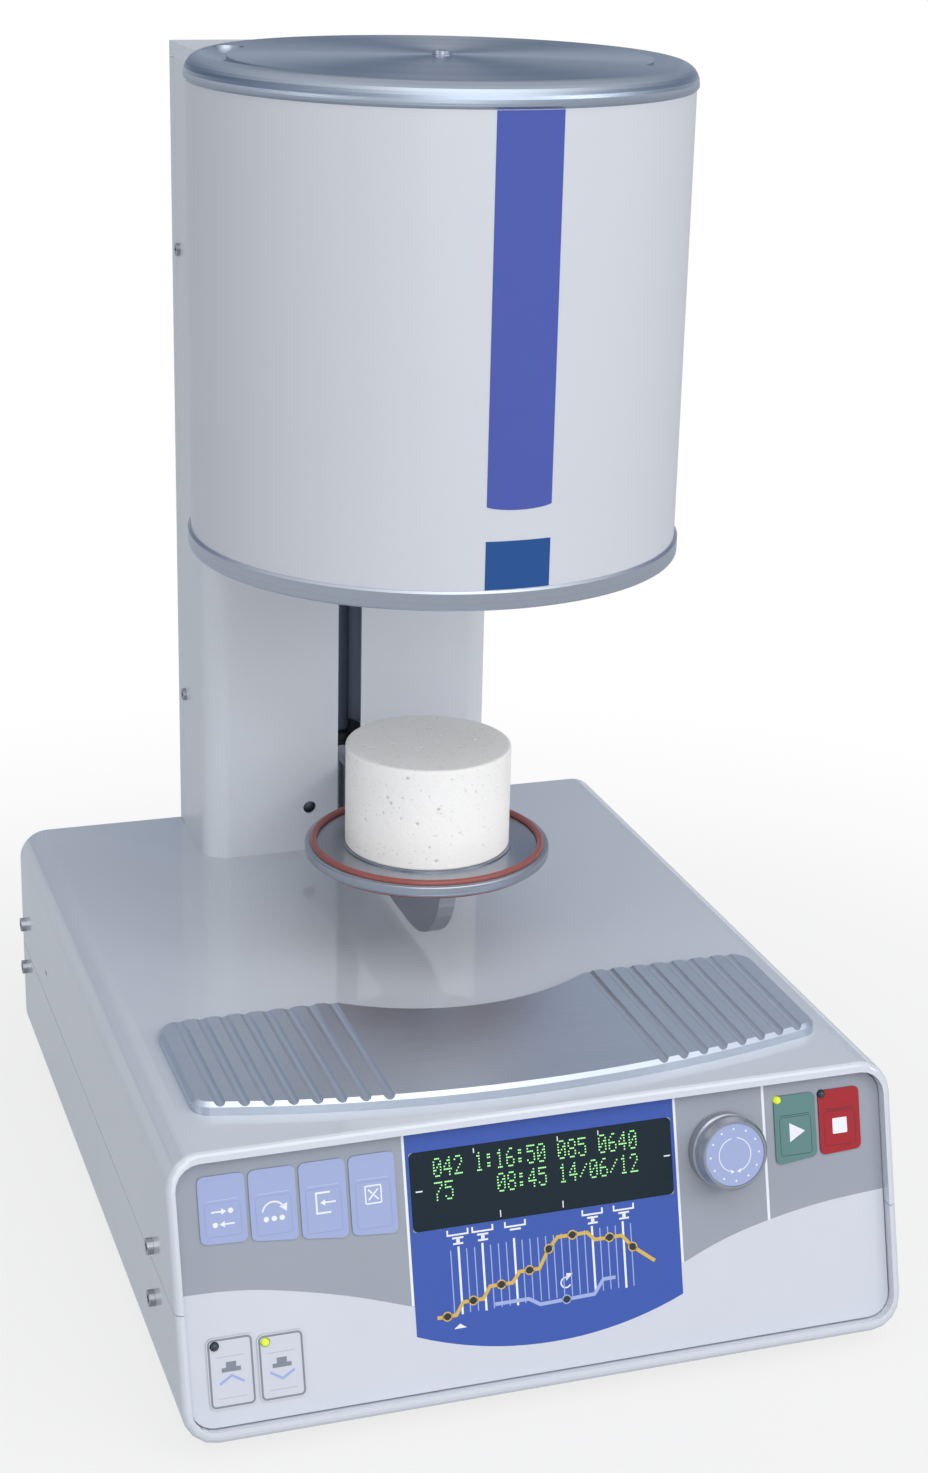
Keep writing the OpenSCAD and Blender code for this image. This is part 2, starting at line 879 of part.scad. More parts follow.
module pump_outlet() {
    color("black")
        translate([outlet_x, rear_face, fit_z])
            difference() {
                union() {
                    translate([-25, 0, -12.5])
                        cube([50, 3, 25]);
                    translate([-13.6, -20, -10.1])
                        cube([27.2, 20 + eps, 20.2]);
                }
                for (p = [[-7, -2], [7, -2], [0, 3]])
                    translate([p[0] - 1.2, -16, p[1] - 2.2])
                        cube([2.4, 30, 4.4]);
                difference() {
                    translate([-14.5, 1.4, -10])
                        cube([29, 5, 20]);
                    translate([-11.6, 0, -7.8])
                        cube([23.2, 9, 15.6]);
                }
            }
}

module vacuum_nipple() {
    color("goldenrod")
        translate([nipple_x, rear_face, fit_z])
            rotate([-90, 0, 0])
                difference() {
                    union() {
                        translate([0, 0, -14])
                            cylinder(d = 8, h = 14 + 11.5);
                        cylinder(d = 14, h = 2.4, $fn = 6);
                        translate([0, 0, -sheet - 3])
                            cylinder(d = 13, h = 3, $fn = 6);
                    }
                    translate([0, 0, -20])
                        cylinder(d = nipple_bore, h = 40);
                }
}

// Plan of the cooling tray: a bowed front edge, a straight rear edge with a concave bay,
// and rounded ends. The front corners lie tangent inside the bow
tray_front = -136.3;
tray_rear = -47.6;
bow_r = 464;
bay_half = 54;
bay_depth = 18;
bay_r = (bay_half * bay_half + bay_depth * bay_depth) / (2 * bay_depth);
front_corner = 8;
rear_corner = 10;
chamfer = 1.6;
bow_y = tray_front + bow_r;
end_x = plate_w / 2 - front_corner;
end_y = bow_y - sqrt(pow(bow_r - front_corner, 2) - pow(end_x, 2));

// A round of radius r with the tray's chamfered upper edge
module chamfered_round(r) {
    rotate_extrude()
        polygon([[0, 0], [r, 0], [r, plate_t - chamfer], [r - chamfer, plate_t], [0, plate_t]]);
}

// The bowed front strip, between the lines from the bow's centre through the corners
module tray_bow() {
    reach = (bow_r + 1) / (bow_y - end_y);
    intersection() {
        translate([0, bow_y, 0])
            chamfered_round(bow_r, $fn = 720);
        translate([0, 0, -1])
            linear_extrude(plate_t + 2)
                polygon([[-end_x, end_y], [end_x, end_y],
                    [end_x * reach, tray_front - 1], [-end_x * reach, tray_front - 1]]);
    }
}

// The rest of the slab, with the upper edge chamfered at the ends and at the rear
module tray_back() {
    hx = plate_w / 2;
    c = chamfer;
    t = plate_t;
    translate([0, tray_rear - rear_corner, 0])
        rotate([90, 0, 0])
            linear_extrude(tray_rear - rear_corner - end_y)
                polygon([[-hx, 0], [hx, 0], [hx, t - c], [hx - c, t], [-hx + c, t], [-hx, t - c]]);
    translate([-hx + rear_corner, 0, 0])
        rotate([90, 0, 90])
            linear_extrude(2 * (hx - rear_corner))
                polygon([[end_y, 0], [tray_rear, 0], [tray_rear, t - c], [tray_rear - c, t], [end_y, t]]);
    for (sx = [-1, 1]) {
        translate([sx * end_x, end_y, 0])
            chamfered_round(front_corner);
        translate([sx * (hx - rear_corner), tray_rear - rear_corner, 0])
            chamfered_round(rear_corner);
    }
}

module cooling_tray() {
    first = plate_w / 2 - 9.7 - (flutes - 1) * flute_pitch;
    color("silver")
        translate([0, 0, base_top])
            difference() {
                union() {
                    tray_bow();
                    tray_back();
                }
                translate([0, tray_rear - bay_depth + bay_r, 0])
                    rotate_extrude($fn = 240)
                        polygon([[0, -1], [bay_r, -1], [bay_r, plate_t - chamfer],
                            [bay_r + chamfer, plate_t], [bay_r + chamfer, plate_t + 1], [0, plate_t + 1]]);
                for (sx = [-1, 1], k = [0:flutes - 1])
                    translate([sx * (first + k * flute_pitch), tray_rear + 10, plate_t + flute_r - flute_depth])
                        rotate([90, 0, 0])
                            cylinder(r = flute_r, h = 120);
            }
}

// Plan of the column, from its front face to y1, drawn in by off
module column_plan(y1, off = 0) {
    r = col_r - off;
    w = col_w - 2 * off;
    translate([-w / 2, col_front + col_r])
        square([w, y1 - col_front - col_r]);
    translate([-w / 2 + r, col_front + off])
        square([w - 2 * r, col_r + 1]);
    for (sx = [-1, 1])
        translate([sx * (w / 2 - r), col_front + col_r])
            circle(r);
}

shell_back = rear_y - col_flange;
lug_z = [60, 266.5];
shell_top = base_top + col_h - col_cap_h;
bracket_w = 56;
bracket_lo = jacket_lo + 48;
bracket_h = min(shell_top, jacket_hi) - 27.1 - bracket_lo;

module column_shell() {
    color("gainsboro")
        difference() {
            translate([0, 0, base_top])
                union() {
                    linear_extrude(col_h - col_cap_h)
                        difference() {
                            column_plan(shell_back);
                            column_plan(rear_y + 10, sheet);
                        }
                    for (sx = [-1, 1])
                        translate([sx * (col_w / 2 - 8) - 7, col_front + 14, 0])
                            cube([14, 26, sheet]);
                }
            translate([-slot_w / 2, col_front - 1, base_top + 2.5])
                cube([slot_w, sheet + 2, slot_h]);
            translate([-18.8, col_front - 1, base_top + 21.3])
                rotate([-90, 0, 0])
                    cylinder(d = hole_d, h = sheet + 2);
            translate([-bracket_w / 2 - ease, col_front - 1, bracket_lo - ease])
                cube([bracket_w + 2 * ease, sheet + 2, bracket_h + 2 * ease]);
            lug_holes(3.4);
        }
}

// The places of the screws that join the rear cover's lugs to the shell's walls
module lug_places() {
    for (sx = [-1, 1], z = lug_z)
        translate([sx * col_w / 2, shell_back - 6, base_top + z + 7])
            rotate([0, sx * 90, 0])
                children();
}

module lug_holes(d) {
    lug_places()
        cylinder(d = d, h = 16, center = true, $fn = 24);
}

module column_screws() {
    color("silver")
        lug_places()
            pan_screw(3, 5, 5.6, 1.6);
}

module column_rear_cover() {
    color("gainsboro")
        difference() {
            union() {
                translate([-col_w / 2, rear_y - sheet, base_top + ease])
                    cube([col_w, sheet, shell_top - base_top - 2 * ease]);
                for (sx = [-1, 1]) {
                    translate([sx * (col_w - sheet) / 2 - sheet / 2, shell_back + ease, base_top + ease])
                        cube([sheet, col_flange - ease, shell_top - base_top - 2 * ease]);
                    // Inner lugs that the side screws hold
                    for (z = lug_z)
                        translate([sx * (col_w / 2 - sheet - 1 - fix_gap) - 1, shell_back - 12, base_top + z])
                            cube([2, 12.1 + col_flange - sheet, 14]);
                }
            }
            for (k = [0:11])
                translate([-38, rear_y - 10, base_top + 240 + 8 * k])
                    cube([76, 20, 3.4]);
            for (k = [0:5])
                translate([-38, rear_y - 10, base_top + 30 + 8 * k])
                    cube([76, 20, 3.4]);
            lug_holes(3 + 2 * run_gap);
        }
}

module column_cap() {
    skirt = 6;
    color("gainsboro")
        translate([0, 0, shell_top]) {
            linear_extrude(col_cap_h)
                column_plan(rear_y);
            translate([0, 0, -skirt])
                linear_extrude(skirt + eps)
                    difference() {
                        column_plan(shell_back - 14, sheet + 0.2);
                        translate([-col_w / 2 + 12, col_front + 8])
                            square([col_w - 24, col_d]);
                    }
        }
}

motor_top = floor_z + 2.5 + 36;

// The upright that carries the rails and the head: a channel on a foot plate
module column_frame() {
    top = shell_top - 16;
    color("silver") {
        translate([-48, rail_y + rail_back, motor_top + 12])
            cube([96, 3, top - motor_top - 12]);
        translate([-48, rail_y - 24, floor_z])
            cube([96, 24 + rail_back + 3, 2.5]);
        for (sx = [-1, 1])
            translate([sx * 46.75 - 1.25, rail_y - 4, floor_z])
                cube([2.5, rail_back + 7, top - floor_z]);
    }
}

module bearing_block(z) {
    translate([0, rail_y, z])
        difference() {
            translate([-42, -15, 0])
                cube([84, 15 + rail_back, block_h]);
            for (sx = [-1, 1])
                translate([sx * rail_x, 0, -1])
                    cylinder(d = rod_d + 2 * fix_gap, h = block_h + 2);
            translate([0, 0, -1])
                cylinder(d = screw_d + 2 * run_gap, h = block_h + 2);
        }
}

module bearing_blocks() {
    color("darkgray") {
        bearing_block(rail_lo);
        bearing_block(rail_hi - block_h);
    }
}

module guide_rods() {
    color("silver")
        for (sx = [-1, 1])
            translate([sx * rail_x, rail_y, rail_lo + 1])
                cylinder(d = rod_d, h = rail_hi - rail_lo - 2);
}

coupling_lo = floor_z + 54;
coupling_hi = rail_lo - 1.5;
shaft_d = 6;

// The screw with its neck and the coupling clamped on it, which takes the motor's shaft
module lead_screw() {
    color("silver")
        translate([0, rail_y, 0])
            difference() {
                union() {
                    translate([0, 0, coupling_lo])
                        cylinder(d = 22, h = coupling_hi - coupling_lo);
                    translate([0, 0, coupling_lo + 12])
                        cylinder(d = screw_d - 4, h = rail_lo - coupling_lo - 12 + eps);
                    translate([0, 0, rail_lo])
                        cylinder(d = screw_d, h = rail_hi - rail_lo + 3);
                }
                translate([0, 0, coupling_lo - 1])
                    cylinder(d = shaft_d + 2 * run_gap, h = 11);
                translate([0, 0, rail_hi + 1.6])
                    difference() {
                        cylinder(d = screw_d + 2, h = 0.8);
                        translate([0, 0, -1])
                            cylinder(d = screw_d - 2, h = 4);
                    }
            }
}

module lift_motor() {
    translate([0, rail_y, floor_z + 2.5]) {
        color("dimgray")
            cylinder(d = 30, h = 36);
        color("silver") {
            translate([0, 0, 36 - eps])
                cylinder(d = 16, h = 5);
            translate([0, 0, 41 - eps])
                cylinder(d = shaft_d, h = 18);
        }
    }
}

nut_d = 20;

module carriage() {
    color("darkgray")
        translate([0, rail_y, carriage_lo])
            difference() {
                translate([-44, -16, 0])
                    cube([88, 16 + rail_back - 0.6, carriage_h]);
                for (sx = [-1, 1])
                    translate([sx * rail_x, 0, -1])
                        cylinder(d = rod_d + 2 * run_gap, h = carriage_h + 2);
                translate([0, 0, -1])
                    cylinder(d = nut_d + 2 * fix_gap, h = carriage_h + 2);
            }
}

module lead_nut() {
    color("goldenrod")
        translate([0, rail_y, carriage_lo])
            difference() {
                union() {
                    cylinder(d = nut_d, h = carriage_h + 1);
                    translate([0, 0, carriage_h])
                        cylinder(d = nut_d + 4, h = 4);
                }
                translate([0, 0, -1])
                    cylinder(d = screw_d + 2 * run_gap, h = carriage_h + 10);
            }
}

// Side profile of the arm's web, as [y, z]: a level beam whose nose sweeps up to the platform
module arm_web() {
    nose_y = head_y + 11;
    polygon(concat(
        [[arm_back, arm_lo], [arm_back, arm_hi - 2.8], [head_y + 36, arm_hi - 2.8], [head_y + 30, arm_hi],
         [nose_y - 42, arm_hi]],
        [for (i = [0:9]) let (a = 180 + 10 * i) [nose_y + 42 * cos(a), arm_lo + 36 + 36 * sin(a)]]));
}

module lift_arm() {
    boss_t = 5;
    color("silver") {
        translate([-arm_t / 2, 0, 0])
            rotate([90, 0, 90])
                linear_extrude(arm_t)
                    arm_web();
        on_axis(arm_hi - boss_t)
            cylinder(r = 18, h = boss_t);
        translate([-20, arm_back - 3, arm_lo + 2])
            cube([40, 3, 32]);
        for (x = [-14, 14], z = [7, 27])
            translate([x, arm_back - 3, arm_lo + z])
                rotate([90, 0, 0])
                    cylinder(d = 6, h = 1.6, $fn = 6);
    }
}

module platform() {
    r = platform_d / 2;
    g = seal_t - seal_proud;
    color("silver")
        on_axis(plate_lo)
            rotate_extrude($fn = 96)
                polygon(concat(
                    [[0, 0], [r - 2.4, 0]],
                    arc_points([r - 1.6, 1.6], 1.6, -60, 0, 4),
                    arc_points([r - 1.2, platform_t - 1.2], 1.2, 0, 90, 4),
                    [[seal_d / 2 + seal_t / 2, platform_t], [seal_d / 2 + seal_t / 2, platform_t - g],
                     [seal_d / 2 - seal_t / 2, platform_t - g], [seal_d / 2 - seal_t / 2, platform_t - 0.6],
                     [pedestal_d / 2 + 1, platform_t - 0.6], [pedestal_d / 2 + 1, platform_t],
                     [0, platform_t]]));
}

// The seal ring on the platform and the flat gasket under it
module seal_rings() {
    color("indianred")
        on_axis() {
            translate([0, 0, seat_z + seal_proud - seal_t / 2])
                rotate_extrude($fn = 96)
                    translate([seal_d / 2, 0])
                        circle(d = seal_t - 2 * fix_gap, $fn = 32);
            translate([0, 0, arm_hi])
                cylinder(d = platform_d - 5, h = gasket_t);
        }
}

module pedestal() {
    color("ivory")
        on_axis(seat_z)
            rotate_extrude($fn = 96)
                polygon([[0, 0], [pedestal_d / 2 - 0.8, 0], [pedestal_d / 2, 0.8],
                         [pedestal_d / 2, pedestal_h - 0.6], [pedestal_d / 2 - 0.6, pedestal_h], [0, pedestal_h]]);
}

module head_bracket() {
    back = rail_y + rail_back;
    front = head_y + head_d / 2 - 6;
    color("silver")
        difference() {
            translate([-bracket_w / 2, front, bracket_lo])
                cube([bracket_w, back - front, bracket_h]);
            translate([-bracket_w / 2 + 4, front - 1, bracket_lo + 4])
                cube([bracket_w - 8, back - front - 3, bracket_h - 8]);
            on_axis(bracket_lo - 1)
                cylinder(d = head_d + 2 * fix_gap, h = bracket_h + 2, $fn = 96);
        }
}

module lower_flange() {
    r = head_d / 2 + 1.3;
    color("silver")
        on_axis(head_lo)
            rotate_extrude($fn = 96)
                polygon(concat(
                    [[mouth_d / 2, 0], [r - 1.6, 0]],
                    arc_points([r - 1.6, 1.6], 1.6, -90, 0, 4),
                    [[r, ring_h - 0.8], [r - 0.8, ring_h], [head_d / 2 - jacket_t - 3, ring_h],
                     [head_d / 2 - jacket_t - 3, flange_t], [mouth_d / 2, flange_t]]));
}

module head_jacket() {
    color("whitesmoke")
        on_axis(jacket_lo)
            tube(head_d / 2, head_d / 2 - jacket_t, jacket_hi - jacket_lo, $fn = 96);
}

// Section of the cap: a thin shell with a rounded shoulder and an almost flat top
// Section of the cap: a shallow cone with a wide round shoulder, thicker under the scoops
module top_cap_profile() {
    r = head_d / 2 + 0.9;
    rest = head_d / 2 - jacket_t - 4;
    shoulder = cap_h - 2.6;
    under = cap_h - scoop_depth - 1.9;
    polygon(concat(
        [[rest, 0], [r - 1, 0], [r, 1]],
        arc_points([r - shoulder, cap_h - 0.6 - shoulder], shoulder, 0, 80, 8),
        [[0, cap_h], [0, cap_h - 2.2], [scoop_r - 14, cap_h - 2.8], [scoop_r - 8, under], [rest, under]]));
}

// Cutter of one scoop: a round bowl at azimuth 0 with a curved ramp that runs out of it.
// The ramp bends about a centre of its own, so that it drifts outwards as it rises.
module scoop_cut() {
    run = 126;
    tilt = atan(scoop_depth / (1.35 * scoop_r));
    translate([0, 0, -scoop_depth]) {
        translate([scoop_r + scoop_w / 2, 0, scoop_w * 0.6])
            sphere(r = scoop_w * 0.6, $fn = 48);
        translate([scoop_r, 0, 0])
            rotate(run)
                rotate([0, -tilt, 0])
                    rotate(-run)
                        translate([-scoop_r - 1.4, 7.9, 0])
                            rotate(-5.6)
                                rotate_extrude(angle = 92, $fn = 96)
                                    polygon([[scoop_r + 2, 0], [scoop_r + 2 + scoop_w, scoop_w * 0.3],
                                             [scoop_r + 2 + scoop_w, scoop_depth + 8], [scoop_r + 2, scoop_depth + 8]]);
    }
}

module top_cap() {
    color("gainsboro")
        on_axis(jacket_hi)
            difference() {
                rotate_extrude($fn = 96)
                    top_cap_profile();
                for (a = [-30, 150])
                    rotate(a)
                        translate([0, 0, cap_h])
                            scoop_cut();
                cylinder(d = cap_screw_d + 0.2, h = 40, center = true, $fn = 32);
            }
}

module cap_screw() {
    color("silver")
        on_axis(head_hi)
            pan_screw(cap_screw_d, 9, cap_screw_d * 1.8, cap_screw_d * 0.35);
}

module vacuum_can() {
    color("darkgray")
        on_axis(chamber_lo)
            difference() {
                cylinder(r = can_r, h = can_hi - chamber_lo, $fn = 96);
                translate([0, 0, -1])
                    cylinder(r = can_r - can_t, h = can_hi - chamber_lo - can_t + 1, $fn = 96);
                cylinder(d = 6, h = 400, $fn = 32);
            }
}

module fibre_lining() {
    color("linen")
        on_axis(chamber_lo)
            difference() {
                cylinder(r = can_r - can_t - ease, h = chamber_h + lid_h - ease, $fn = 96);
                translate([0, 0, -1])
                    cylinder(r = muffle_r + muffle_t + ease, h = chamber_h + 1);
                cylinder(d = 6, h = 400, $fn = 32);
            }
}

// The muffle tube, with four ribs on its wall that carry the coil
module ceramic_muffle() {
    color("oldlace")
        on_axis(chamber_lo) {
            tube(muffle_r + muffle_t, muffle_r, chamber_h - ease);
            for (a = [45:90:315])
                rotate(a)
                    translate([coil_r + wire_d / 2 + 0.1, -2, 4])
                        cube([muffle_r - coil_r - wire_d / 2 + 0.4, 4, chamber_h - 10]);
        }
}

coil_r = mouth_d / 2 + 0.4;
coil_lo = chamber_lo + 8;
coil_pitch = (chamber_h - 18) / coil_turns;
coil_steps = 24;

coil_end = coil_turns * coil_steps;
function coil_point(i) = let (a = 360 * i / coil_steps)
    [coil_r * cos(a), coil_r * sin(a), coil_lo + coil_pitch * i / coil_steps];

// The winding's centre line; each end turns outwards into the muffle's wall
lead_out = muffle_r - coil_r - 1;
coil_path = concat(
    [coil_point(-2) + [lead_out, -1, 0]],
    [for (i = [0:coil_end]) coil_point(i)],
    [coil_point(coil_end + 2) + [lead_out, 1, 0]]);

// Least distance between the surfaces of neighbouring turns
coil_gap = min([for (i = [0:coil_end - coil_steps]) norm(coil_point(i + coil_steps) - coil_point(i))]) - wire_d;
echo(coil_least_gap = coil_gap);

module sweep(path, r, sides) {
    n = len(path);
    rings = [for (i = [0:n - 1])
        let (t = unit(path[max(i - 1, 0)], path[min(i + 1, n - 1)]),
             side = cross(t, [0, 0, 1]) / norm(cross(t, [0, 0, 1])),
             up = cross(side, t))
        for (k = [0:sides - 1])
            path[i] + r * (cos(360 * k / sides) * side + sin(360 * k / sides) * up)];
    faces = [for (i = [0:n - 2], k = [0:sides - 1])
        let (m = (k + 1) % sides)
        each [[i * sides + k, i * sides + m, (i + 1) * sides + k],
              [i * sides + m, (i + 1) * sides + m, (i + 1) * sides + k]]];
    polyhedron(rings, concat(faces, [[for (k = [0:sides - 1]) sides - 1 - k]],
                             [[for (k = [0:sides - 1]) (n - 1) * sides + k]]));
}

module heating_coil() {
    color("gray")
        on_axis()
            sweep(coil_path, wire_d / 2, 6);
}

// Sensor rod through the lid, with its head on the can
module thermocouple() {
    color("silver")
        on_axis() {
            translate([0, 0, chamber_hi - 9])
                cylinder(d = 5.6, h = can_hi - chamber_hi + 9 + eps, $fn = 32);
            translate([0, 0, can_hi])
                cylinder(d = 16, h = 7, $fn = 32);
            translate([0, 0, can_hi + 7 - eps])
                cylinder(d = 9, h = 3, $fn = 6);
        }
}

base_cover();
base_tray();
case_screws();
rubber_feet();
rear_panel();
front_panel();
front_foil();
program_key();
skip_key();
enter_key();
escape_key();
run_key();
stop_key();
lift_up_key();
lift_down_key();
lit_lamps();
dark_lamps();
display_window();
display_module();
keypad_boards();
encoder_body();
encoder_shaft();
encoder_knob();
knob_insert();
transformer();
power_board();
power_inlet();
inlet_pins();
fuse_caps();
switch_frame();
power_rocker();
pump_outlet();
vacuum_nipple();
cooling_tray();
column_shell();
column_rear_cover();
column_cap();
column_screws();
column_frame();
bearing_blocks();
guide_rods();
lead_screw();
lift_motor();
carriage();
lead_nut();
lift_arm();
platform();
seal_rings();
pedestal();
head_bracket();
lower_flange();
head_jacket();
top_cap();
cap_screw();
vacuum_can();
fibre_lining();
ceramic_muffle();
heating_coil();
thermocouple();
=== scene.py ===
# %% [markdown]
# # A dental lab furnace, finished in Blender
# The furnace stands on a bench: a low cabinet with a sloping key panel, a column at the
# back, a round firing head that hangs over a small lift, and a cooling tray in front.
# Its rigid pieces come from CAD and keep their shape. Here they get their finishes, and
# the prints, icons and stripes that a CAD model leaves out.

# %% Load the furnace's frame
import bpy, bmesh, json, math, random
from mathutils import Matrix, Vector, noise
from mathutils.geometry import tessellate_polygon
from mathutils.kdtree import KDTree


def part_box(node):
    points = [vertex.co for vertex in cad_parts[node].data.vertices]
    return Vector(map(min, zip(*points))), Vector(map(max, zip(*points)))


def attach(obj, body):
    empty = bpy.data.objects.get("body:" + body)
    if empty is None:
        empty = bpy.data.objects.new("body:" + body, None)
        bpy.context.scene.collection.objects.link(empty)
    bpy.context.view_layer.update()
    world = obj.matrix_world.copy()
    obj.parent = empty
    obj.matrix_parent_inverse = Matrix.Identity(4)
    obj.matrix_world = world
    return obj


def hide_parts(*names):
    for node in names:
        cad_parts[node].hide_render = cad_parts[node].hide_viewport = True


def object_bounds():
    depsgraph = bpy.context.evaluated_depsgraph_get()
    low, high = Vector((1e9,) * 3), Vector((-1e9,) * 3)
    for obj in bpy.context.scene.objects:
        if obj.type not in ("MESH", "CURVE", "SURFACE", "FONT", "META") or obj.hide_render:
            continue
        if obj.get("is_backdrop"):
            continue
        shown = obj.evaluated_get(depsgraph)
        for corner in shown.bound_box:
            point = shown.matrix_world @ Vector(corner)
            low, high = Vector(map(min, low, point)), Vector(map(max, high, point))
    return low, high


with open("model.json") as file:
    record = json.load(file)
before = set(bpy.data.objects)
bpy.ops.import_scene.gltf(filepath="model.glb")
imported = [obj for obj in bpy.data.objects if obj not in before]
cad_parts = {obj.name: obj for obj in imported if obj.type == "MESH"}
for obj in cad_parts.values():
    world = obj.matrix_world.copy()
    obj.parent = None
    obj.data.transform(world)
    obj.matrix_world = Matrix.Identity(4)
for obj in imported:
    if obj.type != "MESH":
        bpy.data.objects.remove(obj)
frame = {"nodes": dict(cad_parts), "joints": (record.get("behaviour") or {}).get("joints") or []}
NODES = frame["nodes"]
cad_box = [list(c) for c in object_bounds()]
print("furnace, in millimetres:", [round(1000 * (b - a), 1) for a, b in zip(*cad_box)])

# %% [markdown]
# ## The photographer's place
# The furnace is seen from a little left of its front and from above, with a normal lens,
# so that its upright edges lean together slightly. The camera is turned by three angles:
# round the furnace, downwards, and a small roll. Its sensor's longer side is the height.

# %% The camera
def in_scene(name, data):
    made = bpy.data.objects.new(name, data)
    bpy.context.scene.collection.objects.link(made)
    return made

def look(yaw, pitch, roll):
    a, e, r = (math.radians(v) for v in (yaw, pitch, roll))
    ahead = Vector((math.sin(a) * math.cos(e), math.cos(a) * math.cos(e), -math.sin(e)))
    right = Vector((math.cos(a), -math.sin(a), 0))
    down = ahead.cross(right)
    across = math.cos(r) * right + math.sin(r) * down
    downwards = -math.sin(r) * right + math.cos(r) * down
    return Matrix((across, -downwards, -ahead)).transposed()

PHOTO_ROWS, FOCAL_ROWS, SENSOR = 1473, 2568.65, 36
CAMERA_AT, CAMERA_TURN = (-0.30829, -0.95266, 0.57085), (18.75, 19.85, -1.4)
lens = bpy.data.cameras.new("photo_lens")
lens.sensor_fit, lens.sensor_width, lens.sensor_height = "AUTO", SENSOR, SENSOR
lens.lens = FOCAL_ROWS / PHOTO_ROWS * SENSOR
lens.clip_start, lens.clip_end = 0.01, 100
camera = in_scene("photo_camera", lens)
camera.matrix_world = Matrix.Translation(CAMERA_AT) @ look(*CAMERA_TURN).to_4x4()
bpy.context.scene.camera = camera
print("lens of", round(lens.lens, 1), "mm")

# %% [markdown]
# ## Colours
# Colours are given as display values from 0 to 255. Blender's shaders work with
# linear light, so one helper turns them over.

# %% Turn a display colour into linear light
def tint(r, g, b):
    def one(c):
        c /= 255
        return c / 12.92 if c <= 0.04045 else ((c + 0.055) / 1.055) ** 2.4
    return (one(r), one(g), one(b), 1.0)

# %% [markdown]
# ## Node groups for the finishes
# Three effects come back on many pieces: the faint orange peel of baked paint, the rings
# that a lathe leaves, and the straight grain of milled aluminium. Each is a group that is
# built once. A group takes a position and two colours. It gives out a colour, a height
# and a roughness, named Gloss; its input Matt lifts that roughness. The shader itself
# stays in each material.

# %% Helpers for nodes
def feed(tree, socket, value):
    if isinstance(value, bpy.types.NodeSocket):
        tree.links.new(value, socket)
    else:
        socket.default_value = value

def add(tree, kind, **settings):
    node = tree.nodes.new(kind)
    for key, value in settings.items():
        if key in node.inputs:
            feed(tree, node.inputs[key], value)
        else:
            setattr(node, key, value)
    return node

def noise_on(tree, place, socket="Vector", **settings):
    texture = add(tree, "ShaderNodeTexNoise", **settings)
    tree.links.new(place, texture.inputs[socket])
    return texture.outputs[0]

def maths(tree, operation, *values):
    node = add(tree, "ShaderNodeMath", operation=operation)
    for socket, value in zip(node.inputs, values):
        feed(tree, socket, value)
    return node.outputs[0]

def weigh(tree, one, share, two, other_share):
    return maths(tree, "ADD", maths(tree, "MULTIPLY", one, share), maths(tree, "MULTIPLY", two, other_share))

def length_of(tree, x, y):
    return maths(tree, "SQRT", maths(tree, "ADD", *(maths(tree, "POWER", side, 2.0) for side in (x, y))))

def blend_colours(tree, factor, one, two):
    node = add(tree, "ShaderNodeMix", data_type="RGBA")
    for index, value in zip((0, 6, 7), (factor, one, two)):
        feed(tree, node.inputs[index], value)
    return node.outputs[2]

# %% Opening and closing a group
def new_group(name, second_colour, numbers):
    group = bpy.data.node_groups.new(name, "ShaderNodeTree")
    inputs = [("Position", "Vector"), ("Colour", "Color"), (second_colour, "Color")]
    inputs += [(label, "Vector" if isinstance(value, tuple) else "Float") for label, value in numbers.items()]
    outputs = [("Colour", "Color"), ("Height", "Float"), ("Gloss", "Float")]
    for way, sockets in (("INPUT", inputs), ("OUTPUT", outputs)):
        for label, kind in sockets:
            socket = group.interface.new_socket(label, in_out=way, socket_type="NodeSocket" + kind)
            if label in numbers:
                socket.default_value = numbers[label]
    return group, group.nodes.new("NodeGroupInput").outputs

def close_group(group, *results):
    out = group.nodes.new("NodeGroupOutput")
    for result, socket in zip(results, out.inputs):
        group.links.new(result, socket)
    print("group", group.name, "with", len(group.nodes), "nodes")

# %% [markdown]
# ### Baked paint
# Powder paint is never quite even. Slow clouds shift its tone by a hundredth or two,
# and a fine ripple of about a millimetre breaks up its reflections.

# %% The paint group
paint, given = new_group("baked_paint", "Shade", {"Cloud size": 9.0, "Ripple size": 900.0, "Matt": 0.27})
place = given["Position"]
clouds = noise_on(paint, place, Scale=given["Cloud size"], Detail=3.0, Roughness=0.55)
ripple = noise_on(paint, place, Scale=given["Ripple size"], Detail=2.0, Roughness=0.5)
specks = noise_on(paint, place, Scale=2400.0, Detail=1.0)
mixed = weigh(paint, clouds, 0.8, specks, 0.25)
close_group(paint, blend_colours(paint, mixed, given["Colour"], given["Shade"]), ripple,
            maths(paint, "MULTIPLY_ADD", clouds, 0.14, given["Matt"]))

# %% [markdown]
# ### Lathe marks
# The head's cap, its lower flange, the platform and the knob are turned from aluminium.
# The tool leaves rings about the axis. The group takes a position whose Z axis is the
# lathe's, measures the radius, and reads a noise along it.

